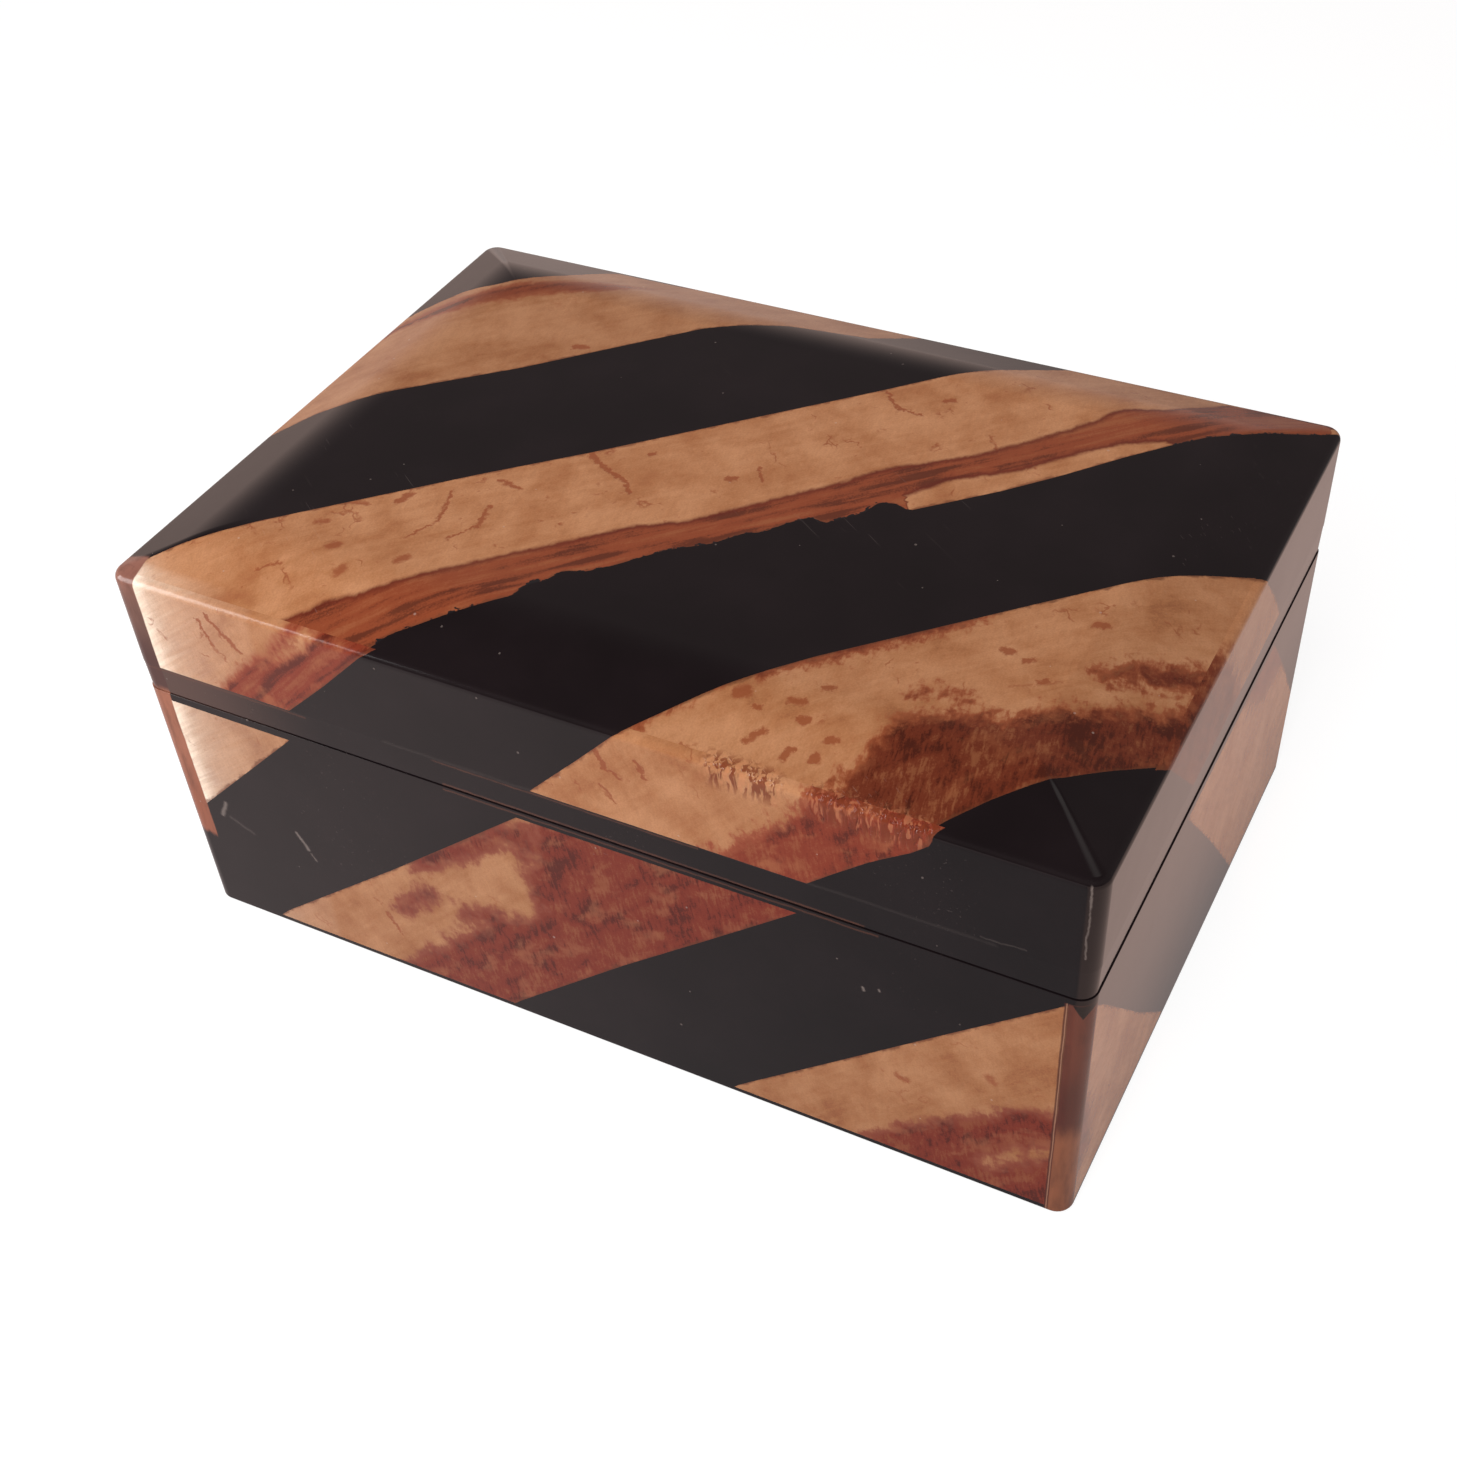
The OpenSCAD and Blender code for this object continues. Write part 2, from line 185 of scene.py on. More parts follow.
class Nodes:
    """Adds nodes to a tree and joins them. The sizes of patterns are in millimetres."""

    def __init__(self, tree):
        self.tree = tree

    def node(self, kind, **settings):
        made = self.tree.nodes.new(kind)
        for key, value in settings.items():
            setattr(made, key, value)
        return made

    def put(self, socket, value):
        """Joins a socket to another node's output, or sets its value."""
        if isinstance(value, bpy.types.NodeSocket):
            self.tree.links.new(value, socket)
        elif value is not None:
            socket.default_value = value

    def fed(self, kind, values, **settings):
        """A node with values put in its inputs, by name or by number."""
        made = self.node(kind, **settings)
        for key, value in values.items():
            self.put(made.inputs[key], value)
        return made

    def math(self, operation, *values, clamp=False):
        made = self.fed("ShaderNodeMath", dict(enumerate(values)), operation=operation, use_clamp=clamp)
        return made.outputs[0]

    def times(self, a, b, clamp=False):
        return self.math("MULTIPLY", a, b, clamp=clamp)

    def plus(self, a, b):
        return self.math("ADD", a, b)

    def minus(self, a, b):
        return self.math("SUBTRACT", a, b)

    def line(self, value, slope, start):
        """The value times the slope, plus the start."""
        return self.math("MULTIPLY_ADD", value, slope, start)

    def vector(self, operation, *values, scale=None):
        """Vector arithmetic: a number for a length or a dot product, otherwise a vector."""
        made = self.fed("ShaderNodeVectorMath", dict(enumerate(values)), operation=operation)
        if scale is not None:
            self.put(made.inputs["Scale"], scale)
        return made.outputs["Value" if operation in ("DOT_PRODUCT", "LENGTH") else "Vector"]

    def parts(self, vector):
        """The x, y and z of a vector."""
        return self.fed("ShaderNodeSeparateXYZ", {0: vector}).outputs

    def joined(self, x=None, y=None, z=None):
        """A vector from its x, y and z."""
        return self.fed("ShaderNodeCombineXYZ", {0: x, 1: y, 2: z}).outputs[0]

    def step(self, value, low, high, to_low=0.0, to_high=1.0):
        """Smooth step of a value from low to high."""
        values = dict(enumerate((value, low, high, to_low, to_high)))
        return self.fed("ShaderNodeMapRange", values, interpolation_type="SMOOTHSTEP").outputs[0]

    def mix(self, share, a, b, blend="MIX"):
        values = {0: share, 6: a, 7: b}
        return self.fed("ShaderNodeMix", values, data_type="RGBA", blend_type=blend).outputs[2]

    def scaled(self, place, x, y, z, turn=0.0):
        """The place turned about z by some degrees, then scaled."""
        if turn:
            place = self.fed("ShaderNodeMapping", {
                "Vector": place, "Rotation": (0, 0, math.radians(turn))}).outputs[0]
        return self.fed("ShaderNodeMapping", {"Vector": place, "Scale": (x, y, z)}).outputs[0]

    def noise(self, place, size, detail=2.0, rough=0.5, warp=0.0, output="Fac"):
        """Noise whose features are about size across."""
        values = {"Vector": place, "Scale": 1 / (size * MM), "Detail": detail, "Roughness": rough,
                  "Distortion": warp}
        return self.fed("ShaderNodeTexNoise", values).outputs[output]

    def cells(self, place, size, feature="F1"):
        """Distance to the middles or the edges of cells about size across."""
        values = {"Vector": place, "Scale": 1 / (size * MM)}
        return self.fed("ShaderNodeTexVoronoi", values, feature=feature).outputs["Distance"]

    def weighed(self, pairs, start=0.0):
        """Sum of (value - 0.5) x weight over the pairs, added to start."""
        total = start
        for value, weight in pairs:
            total = self.line(self.minus(value, 0.5), weight, total)
        return total

    def bump(self, height, distance, strength=1.0, under=None):
        """Normal of a surface with this height, over the normal under it."""
        values = {"Height": height, "Distance": distance, "Strength": strength, "Normal": under}
        return self.fed("ShaderNodeBump", values).outputs[0]

    def value(self, attribute):
        """A value that the mesh holds."""
        return self.node("ShaderNodeAttribute", attribute_name=attribute).outputs["Fac"]


def group(name, inputs, outputs):
    """A new shader node group with its sockets; returns it with its Nodes and ends."""
    tree = bpy.data.node_groups.new(name, "ShaderNodeTree")
    for direction, sockets in (("INPUT", inputs), ("OUTPUT", outputs)):
        for label, kind, *default in sockets:
            socket = tree.interface.new_socket(label, in_out=direction, socket_type="NodeSocket" + kind)
            if default:
                socket.default_value = default[0]
    nodes = Nodes(tree)
    return tree, nodes, nodes.node("NodeGroupInput").outputs, nodes.node("NodeGroupOutput").inputs


def tinted(colour, factor=1.0):
    """A colour times a factor or a tint, with its alpha."""
    factors = (factor,) * 3 if isinstance(factor, (int, float)) else factor
    return tuple(f * v for f, v in zip(factors, colour)) + (1,)


# Gloss of the lacquer, and how a flaw's own width and strength count
GLOSS_IOR = 1.42
GLOSS_BUMP = 0.06 * MM
FLAW_WIDTH = 1.95
FLAW_STRENGTH = 1.4
# Tones that no user sets: painted light on the horn, flaws, dark and pale bars of the puckered crease that
# are partly painted reflections, the tint of the deepest stain, lacquer that bites into a strip, worn edges,
# scratches and dust, and painted highlights along the band's top edge and the lid skin's lower edge
LIGHT_TONE = (1.0, 0.83, 0.67, 1)
FLAW_TONE = (0.27, 0.07, 0.026, 1)
BAR_TONE = (0.17, 0.032, 0.012, 1)
PALE_BAR_AND_SHEEN_TONE = (0.58, 0.23, 0.11, 1)
DEEP_TINT = (0.46, 0.47, 0.55, 1)
BITE_TONE = (0.012, 0.01, 0.011, 1)
WEAR_AND_HIGHLIGHT_TONE = (0.14, 0.05, 0.03, 1)
SCRATCH_AND_HIGHLIGHT_TONE = (0.26, 0.21, 0.19, 1)
DUST_TONE = (0.5, 0.42, 0.36, 1)
# Tones of the narrow corner strips from the foot up, partly painted shade where the rounded corners catch
# less light: the lowest, then height, half blend and tone
LEFT_TONES = ((0.27, 0.085, 0.046, 1), (30, 8, (0.33, 0.12, 0.07, 1)), (47, 1, (0.07, 0.028, 0.024, 1)),
              (58, 5, (0.17, 0.08, 0.06, 1)), (65, 3, (0.26, 0.11, 0.08, 1)))
RIGHT_TONES = ((0.24, 0.082, 0.04, 1), (19, 2.5, (0.085, 0.022, 0.015, 1)), (30, 7, (0.13, 0.036, 0.022, 1)))
# Tones of the band's brown start, and of the right corner strip's notch, the painted shade along its edge and
# its painted glint
BAND_TONE = (0.105, 0.056, 0.045, 1)
NOTCH_TONE = (0.008, 0.006, 0.006, 1)
EDGE_SHADE_TONE = (0.07, 0.02, 0.014, 1)
GLINT_TONE = (0.5, 0.26, 0.16, 1)


def marks_group():
    """Dust specks and fine scratches in a gloss surface, and the smear that changes its gloss."""
    tree, n, given, out = group(
        "Handling marks",
        [("Place", "Vector"), ("Amount", "Float", 1.0)],
        [("Mask", "Float"), ("Smear", "Float")])
    place = given["Place"]
    specks = n.math("LESS_THAN", n.cells(place, 4.5), n.times(n.noise(place, 3, 1), 0.07))
    hairs = n.step(n.noise(n.scaled(place, 0.03, 1, 1, 35), 0.3, 1), 0.72, 0.76)
    clusters = n.step(n.noise(place, 30, 2), 0.56, 0.7)
    both = n.plus(n.times(specks, 0.5), n.times(hairs, n.times(clusters, 0.2)))
    n.put(out["Mask"], n.times(both, given["Amount"], clamp=True))
    n.put(out["Smear"], n.noise(place, 22, 4, 0.6, 0.6))
    return tree


def horn_group():
    """Figure of the horn strips: clouds, streaks along the strip, freckles, cracks, ridges and stain, with
    painted light near the front left corner and painted reflections in the ridges.
    """
    tree, n, given, out = group(
        "Horn figure",
        [("Fold", "Vector"), ("Shift", "Vector"), ("Place", "Vector"), ("Stain", "Float"),
         ("Rim", "Float", 5.0), ("Glow", "Float"), ("Ridge", "Float"), ("Flaw", "Float"),
         ("Horn", "Color", (0.4, 0.17, 0.07, 1)),
         ("Pale", "Color", (0.53, 0.26, 0.13, 1)), ("Stained", "Color", (0.19, 0.03, 0.015, 1)),
         ("Edge", "Color", (0.3, 0.08, 0.03, 1)), ("Specks", "Float", 0.5), ("Gaps", "Float", 0.5),
         ("Ragged", "Float", 1.0), ("Streaks", "Float", 0.0), ("Soft", "Float", 0.6), ("Bite", "Float", 0.0)],
        [("Color", "Color"), ("Height", "Float")])
    horn, stain, edge, streaky = given["Horn"], given["Stained"], given["Edge"], given["Streaks"]

    # Noises on the folded pattern, the widest first
    fold = n.vector("ADD", given["Fold"], given["Shift"])
    clouds = n.noise(fold, 13, 4, 0.55, 0.3)
    patches = n.noise(n.scaled(fold, 0.75, 1, 1, 25), 5.5, 3, 0.5, 0.5)
    lumps = n.noise(fold, 3.8, 4, 0.62, 0.35)
    ribbons = n.noise(n.scaled(fold, 0.07, 1, 1), 3.6, 1, 0.4, 0.1)
    streaks = n.noise(n.scaled(fold, 0.1, 1, 1), 2.2, 4, 0.62, 0.35)
    blots = n.noise(n.scaled(fold, 0.7, 1, 1, -8), 1.7, 4, 0.6, 0.2)
    strokes = n.noise(n.scaled(fold, 1, 0.22, 1, -36), 0.75, 3, 0.6, 0.4)
    grain = n.noise(fold, 0.4, 3, 0.6)

    # Tan ground, with a painted highlight near the front left corner
    tone = n.weighed([(clouds, 2.3), (streaks, 0.7), (grain, 0.3), (blots, 0.5)], 0.45)
    ground = n.mix(n.step(tone, 0.0, 1.0), horn, given["Pale"])
    ground = n.mix(n.step(tone, 0.3, -0.2), ground, n.mix(0.3, horn, stain))
    fan = n.noise(n.scaled(fold, 0.08, 1, 1, -8), 1.1, 3, 0.55, 0.2)
    light = n.times(n.line(n.minus(fan, 0.5), 1.1, 1.0), given["Glow"])
    ground = n.mix(n.times(light, 0.85, clamp=True), ground, LIGHT_TONE)
    shade = n.step(n.weighed([(grain, 1.0), (strokes, 0.7)], 0.5), 0.1, 0.9, 0.88, 1.08)
    ground = n.mix(1.0, ground, n.mix(1.0, (1, 1, 1, 1), shade, "MULTIPLY"), "MULTIPLY")

    # Freckles, fine cracks and the flaws that have their own places
    freckles = n.times(n.step(blots, 0.6, 0.7), n.step(patches, 0.5, 0.64))
    bends = n.fed("ShaderNodeTexNoise", {"Vector": fold, "Scale": 230, "Detail": 4}).outputs["Color"]
    bent = n.vector("ADD", n.scaled(fold, 1, 0.5, 1), n.vector("SCALE", bends, scale=0.009))
    cracks = n.minus(1.0, n.step(n.cells(bent, 9, "DISTANCE_TO_EDGE"), 0.004, 0.045))
    cracks = n.times(cracks, n.step(n.noise(fold, 8, 3), 0.56, 0.66))
    flaw = n.times(n.math("MAXIMUM", n.times(freckles, 0.8), cracks), given["Specks"])
    flaw = n.math("MAXIMUM", flaw, given["Flaw"], clamp=True)
    ground = n.mix(n.times(flaw, 0.85), ground, n.mix(0.15, FLAW_TONE, stain))

    # Red-brown stain: its ragged reach, its tone, its brighter border and the gaps in it
    ragged = n.weighed([(lumps, 8.0), (blots, 3.0), (strokes, 3.4), (grain, 1.0)], 0.0)
    ragged = n.line(ragged, given["Ragged"], given["Stain"])
    area = n.step(ragged, n.times(given["Soft"], -1.0), given["Soft"])
    tone = n.weighed([(patches, 1.7), (lumps, 0.7), (blots, 0.3), (strokes, 1.1)], 0.0)
    calm = n.weighed([(clouds, 1.1), (strokes, 0.3), (grain, 0.7)], 0.5)
    tone = n.line(tone, n.minus(1.0, streaky), calm)
    along = n.times(n.minus(ribbons, 0.5), n.line(streaky, 1.1, 0.6))
    fibres = n.times(n.minus(streaks, 0.5), n.times(streaky, 1.9))
    tone = n.plus(n.plus(tone, along), fibres)
    deep = n.mix(1.0, stain, DEEP_TINT, "MULTIPLY")
    stained = n.mix(n.step(tone, 0.55, 1.0), stain, n.mix(0.3, stain, horn))
    stained = n.mix(n.step(tone, 0.52, 0.12), stained, deep)
    border = n.minus(1.0, n.step(ragged, 0.3, n.line(streaky, -1.3, 2.8)))
    stained = n.mix(n.times(border, 0.8), stained, edge)
    wide = n.noise(n.scaled(fold, 0.6, 1, 1, -10), 6.5, 4, 0.6, 0.3)
    gaps = n.times(n.step(n.weighed([(wide, 1.0), (strokes, 0.22)], 0.5), 0.5, 0.7), given["Gaps"])
    stained = n.mix(gaps, stained, n.mix(0.4, edge, horn))
    colour = n.mix(area, ground, stained)

    # Bars across the puckered crease, dark and pale: partly the horn's own figure, partly painted reflections
    # of the rippled gloss
    bars = n.noise(n.scaled(given["Place"], 1, 1, 0.25), 0.7, 2, 0.5, 0.5)
    pale = n.times(n.step(bars, 0.46, 0.38), given["Ridge"])
    bars = n.times(n.step(bars, 0.48, 0.58), given["Ridge"])
    colour = n.mix(n.times(bars, 0.85), colour, BAR_TONE)
    colour = n.mix(n.times(pale, 0.38), colour, PALE_BAR_AND_SHEEN_TONE)

    # The strip's rim: a thin dark line, and lacquer that bites into the stain
    rim = n.plus(given["Rim"], n.times(n.minus(lumps, 0.5), 2.2))
    line = n.minus(1.0, n.step(rim, -0.05, 0.45))
    colour = n.mix(n.times(line, 0.72), colour, n.mix(0.15, deep, horn))
    depth = n.times(n.weighed([(lumps, 2.4), (blots, 3.0), (grain, 0.9)], 0.05), given["Bite"])
    bite = n.step(n.minus(depth, given["Rim"]), -0.04, 0.05)
    n.put(out["Color"], n.mix(n.times(bite, area), colour, BITE_TONE))
    relief = [(streaks, 0.6), (strokes, 0.4), (blots, 0.5), (flaw, -0.6), (bars, 2.4)]
    n.put(out["Height"], n.weighed(relief, 0.5))
    return tree


def corner_group():
    """Narrow strips of brown tone at the rounded front corners, partly their own tone and partly painted
    shade where the rounding catches less light, and the brown start of the band. Their places are in
    millimetres."""
    tree, n, given, out = group(
        "Corner strips",
        [("Place", "Vector"), ("Color", "Color")],
        [("Color", "Color")])
    rough = n.noise(n.scaled(given["Place"], 1, 1, 0.25), 1.8, 4, 0.6, 0.3)
    wobble = n.line(rough, 0.4, -0.2)
    x, y, z = n.parts(n.scaled(given["Place"], 1 / MM, 1 / MM, 1 / MM))
    edge = n.plus(x, wobble)
    at = n.line(wobble, 6.0, z)

    def within(*limits):
        """Product of smooth steps, each a value with the levels where it gives 0 and 1."""
        return reduce(n.times, [n.step(*limit) for limit in limits])

    def figured(tones, low, shade):
        """Tones by height, darker where the figure is rough."""
        colour = tones[0]
        for height, blend, tone in tones[1:]:
            colour = n.mix(n.step(at, height - blend, height + blend), colour, tone)
        return n.mix(n.step(rough, low, 0.75), colour, n.mix(0.5, colour, shade))

    band = within((z, 46.6, 46.9), (z, 51.9, 51.7), (x, -40, -72), (y, -34, -46))
    colour = n.mix(n.times(band, 0.75), given["Color"], BAND_TONE)
    left = within((edge, -70.2, -70.45), (y, -46.6, -47.4), (at, 16.0, 17.5))
    colour = n.mix(left, colour, figured(LEFT_TONES, 0.4, (0.08, 0.03, 0.02, 1)))
    base = ((z, 45.9, 45.5), (y, -48.8, -49.2))
    right = within((edge, 71.95, 72.1), *base)
    colour = n.mix(right, colour, figured(RIGHT_TONES, 0.35, (0.06, 0.02, 0.015, 1)))

    # The right strip's pointed top, and painted shade along its edge with a painted glint beside it
    notch = n.line(n.math("ABSOLUTE", n.minus(x, 73.9)), 1.9, 43.0)
    colour = n.mix(n.times(n.step(n.minus(z, notch), -0.1, 0.3), right), colour, NOTCH_TONE)
    edge_shade = within((edge, 71.4, 71.6), (edge, 72.15, 71.95), *base)
    colour = n.mix(n.times(edge_shade, 0.85), colour, EDGE_SHADE_TONE)
    glint = within((edge, 71.7, 71.8), (edge, 71.95, 71.85), *base)
    n.put(out["Color"], n.mix(n.times(glint, 0.5), colour, GLINT_TONE))
    return tree


def scratch_group():
    """A straight line or a spot between two points, fading out over its width."""
    tree, n, given, out = group(
        "Scratch",
        [("Place", "Vector"), ("Start", "Vector"), ("End", "Vector"), ("Width", "Float", 0.2 * MM)],
        [("Mask", "Float")])
    to_place = n.vector("SUBTRACT", given["Place"], given["Start"])
    line = n.vector("SUBTRACT", given["End"], given["Start"])
    along, whole = n.vector("DOT_PRODUCT", to_place, line), n.vector("DOT_PRODUCT", line, line)
    share = n.math("DIVIDE", along, whole, clamp=True)
    away = n.vector("LENGTH", n.vector("SUBTRACT", to_place, n.vector("SCALE", line, scale=share)))
    n.put(out["Mask"], n.minus(1.0, n.step(away, 0.0, given["Width"])))
    return tree


def pile_group():
    """Short pile or felted fibres."""
    tree, n, given, out = group(
        "Pile",
        [("Place", "Vector"), ("Base", "Color", (0.1, 0.1, 0.1, 1))],
        [("Color", "Color"), ("Height", "Float")])
    tufts = n.noise(given["Place"], 0.35, 3, 0.7)
    brushed = n.noise(n.scaled(given["Place"], 1, 0.5, 1, 20), 16, 2, 0.45, 0.6)
    tone = n.step(n.weighed([(tufts, 1.0), (brushed, 0.7)], 0.5), 0.0, 1.0, 0.6, 1.7)
    n.put(out["Color"], n.mix(1.0, given["Base"], tone, "MULTIPLY"))
    n.put(out["Height"], tufts)
    return tree


class Finishes:
    """The materials, each made at its first use by the method of its name."""

    def __init__(self, colours, seam):
        self.colours = colours
        self.seam = seam
        self.made = {}
        self.groups = {"marks": marks_group(), "horn": horn_group(), "pile": pile_group(),
                       "corner": corner_group(), "scratch": scratch_group()}

    def get(self, kind, detail=None, **values):
        """The material of a kind and detail; the kind's method gives the values of its shader."""
        name = kind if detail is None else kind + "_" + detail
        if name not in self.made:
            material = bpy.data.materials.new(name)
            material.use_nodes = True
            n = Nodes(material.node_tree)
            place = n.node("ShaderNodeTexCoord").outputs["Object"]
            surface = material.node_tree.nodes["Principled BSDF"]
            for key, value in getattr(self, kind)(n, place, **values).items():
                n.put(surface.inputs[key], value)
            self.made[name] = material
        return self.made[name]

    def use(self, n, group_name, **inputs):
        return n.fed("ShaderNodeGroup", inputs, node_tree=self.groups[group_name]).outputs

    def lines(self, n, place, lines, warp, size):
        """Mask of short lines and spots on a place that noise of a size has warped."""
        noise = n.noise(place, size, 4, 0.65, output="Color")
        bent = n.vector("MULTIPLY_ADD", noise, (warp * MM,) * 3, place)
        bent = n.vector("SUBTRACT", bent, (warp / 2 * MM,) * 3)
        total = None
        for start, end, width, strength in lines:
            mask = self.use(n, "scratch", Place=bent, Start=tuple(v * MM for v in start),
                            End=tuple(v * MM for v in end), Width=width * MM)["Mask"]
            mask = n.times(mask, strength)
            total = mask if total is None else n.math("MAXIMUM", total, mask)
        return total

    def black_lacquer(self, n, place):
        marks = self.use(n, "marks", Place=place)
        base = self.colours.lacquer
        colour = n.mix(n.step(n.noise(place, 14, 3), 0.3, 0.8), tinted(base), tinted(base, 1.5))
        colour = self.use(n, "corner", Place=place, Color=colour)["Color"]
        # Brown lines of wear along the seam, and a painted highlight along the band's top edge
        colour = n.mix(n.times(self.lines(n, place, WEAR_AND_HIGHLIGHT_LINES, 0.5, 2.5), 0.75), colour, WEAR_AND_HIGHLIGHT_TONE)
        # Pale dust and scratches, and the painted highlight along the lid skin's lower edge
        pale = n.math("MAXIMUM", n.times(marks["Mask"], 0.7), self.lines(n, place, SCRATCHES_AND_HIGHLIGHT, 0.8, 2.5))
        return {"Base Color": n.mix(pale, colour, SCRATCH_AND_HIGHLIGHT_TONE),
                "Roughness": n.line(marks["Smear"], 0.12, 0.06), "IOR": GLOSS_IOR,
                "Normal": n.bump(n.noise(place, 9, 2, 0.4), GLOSS_BUMP, 0.5)}

    def horn(self, n, place, node, shift, horn=1.0, stain=(1, 1, 1), edge=(1, 1, 1), specks=0.5, gaps=0.5,
              ragged=1.0, streaks=0.0, soft=0.6, bite=0.0):
        fold = n.node("ShaderNodeUVMap", uv_map="fold").outputs[0]
        c = self.colours
        flaws = [(folded(node, start), folded(node, end), FLAW_WIDTH * width,
                  min(1.0, FLAW_STRENGTH * strength)) for start, end, width, strength in FLAWS.get(node, [])]
        streaky = n.value("streaky")
        figure = self.use(
            # The glow attribute holds painted light near the front left corner
            n, "horn", Fold=fold, Shift=shift, Place=place,
            Stain=n.value("stain"), Rim=n.value("rim"), Glow=n.value("glow"), Ridge=n.value("ridge"),
            Flaw=n.step(self.lines(n, fold, flaws, 3.2, 1.7), 0.18, 0.75) if flaws else 0.0,
            Horn=tinted(c.horn, horn), Pale=tinted(c.horn_pale, horn),
            Stained=tinted(c.stain, stain), Edge=tinted(c.stain_edge, edge),
            Specks=specks, Gaps=gaps, Soft=soft, Bite=bite,
            Ragged=n.line(streaky, -0.6 * ragged, ragged),
            Streaks=n.math("MAXIMUM", streaky, streaks))
        marks = self.use(n, "marks", Place=place, Amount=0.6)
        colour = self.use(n, "corner", Place=place, Color=figure["Color"])["Color"]
        waves = n.bump(n.noise(place, 9, 2, 0.4), GLOSS_BUMP, 0.5)
        return {"Base Color": n.mix(marks["Mask"], colour, DUST_TONE),
                "Roughness": n.line(marks["Smear"], 0.14, 0.1), "IOR": GLOSS_IOR,
                "Normal": n.bump(figure["Height"], GLOSS_BUMP, 0.5, waves)}

    def velvet(self, n, place):
        pile = self.use(n, "pile", Place=place, Base=tinted(self.colours.velvet))
        return {"Base Color": pile["Color"], "Roughness": 0.95, "Specular IOR Level": 0.15,
                "Sheen Weight": 0.7, "Sheen Roughness": 0.4, "Sheen Tint": (0.9, 0.35, 0.3, 1),
                "Normal": n.bump(pile["Height"], 0.15 * MM, 0.6)}

    def felt(self, n, place):
        pile = self.use(n, "pile", Place=place, Base=tinted(self.colours.felt))
        return {"Base Color": pile["Color"], "Roughness": 1.0, "Specular IOR Level": 0.1,
                "Normal": n.bump(pile["Height"], 0.3 * MM, 0.8)}

    def timber(self, n, place, stretch):
        """Wood with its grain along x or y, stained black where it shows round the rims."""
        grain = n.noise(n.scaled(place, *stretch), 0.9, 5, 0.65, 0.6)
        base = self.colours.timber
        wood = n.mix(n.step(grain, 0.3, 0.7), tinted(base, 0.55), tinted(base))
        black = n.mix(grain, (0.006, 0.005, 0.005, 1), (0.016, 0.013, 0.012, 1))
        away = n.math("ABSOLUTE", n.minus(n.parts(place)["Z"], self.seam))
        painted = n.minus(1.0, n.step(away, 3.2 * MM, 3.6 * MM))
        return {"Base Color": n.mix(painted, wood, black), "Roughness": n.line(grain, 0.2, 0.28),
                "Normal": n.bump(grain, 0.08 * MM, 0.4)}

    def brass(self, n, place):
        brushed = n.noise(n.scaled(place, 0.05, 1, 1), 0.15, 3, 0.6)
        tarnish = n.noise(place, 4.5, 3, 0.5, 0.3)
        base = self.colours.brass
        colour = n.mix(n.step(tarnish, 0.45, 0.75), tinted(base), tinted(base, (0.8, 0.76, 0.7)))
        return {"Base Color": colour, "Metallic": 1.0,
                "Roughness": n.weighed([(brushed, 0.1), (tarnish, 0.08)], 0.38),
                "Normal": n.bump(brushed, 0.02 * MM, 0.4)}


# Skins. Lengths below are in millimetres until a mesh is made.

# The parts of a point's row in a skin, the two axes in which a side's outlines are drawn, and
# numbers past any length and under any
PLACE, NORMAL, TWIN, DROP = slice(0, 3), slice(3, 6), slice(6, 9), 9
PLANES = {"top": (0, 1), "front": (0, 2), "back": (0, 2), "right": (1, 2), "left": (1, 2)}
FAR, TINY = 1e9, 1e-9
# How near a point counts as on a strip's edge, and the share of a line within which cuts are one
ON_EDGE, SHARED = 0.012, 0.03
# How far a stain and a strip's rim can reach, and the place of the front and of the lid's top edge
STAIN_REACH, RIM_REACH = 4.0, 9.0
FRONT_Y, EDGE_Z = -51.5, 67.6
# Columns of points along half a long side, half a short side and round a corner
LONG_COLUMNS, SHORT_COLUMNS, CORNER_COLUMNS = 66, 46, 8
# How fast the lid's corners sharpen over its border, and the radius that they may keep at the edge
HIP_SHRINK, HIP_RADIUS = 0.9, 1.8
# Radii of the lid skin's lower edge, the edges at the seam, and the base's foot
LID_FOOT, SEAM_ROUND, FOOT_ROUND = 0.1, 0.07, 0.45
# The base's skin over its CAD height, and its strips' upper and lower ends
BASE_TOP_LIFT, BASE_STRIP_TOP, BASE_STRIP_FOOT = 0.24, 45.4, 1.9
# The height under which the hinges change nothing, the back edges' chamfer in degrees, and the
# radius that a knuckle takes up
FIXED, CHAMFER, KNUCKLE_ROOM = 40, 52, 1.8
# The band's gap over the seam, how far it is set back, how far it leans in, and its normals' tilt
BAND_GAP, BAND_INSET, BAND_LEAN, BAND_TILT = 0.05, 0.06, 0.1, 0.02

# A point's fold number is its x minus its y on the unfolded skin, and its run is x plus y.
# Signs of the drop below the lid's edge in each, for each side.
FOLDS = {"top": (0, 0), "front": (1, -1), "right": (1, 1), "back": (-1, 1), "left": (-1, -1)}
SIDES = ("front", "right", "back", "left")

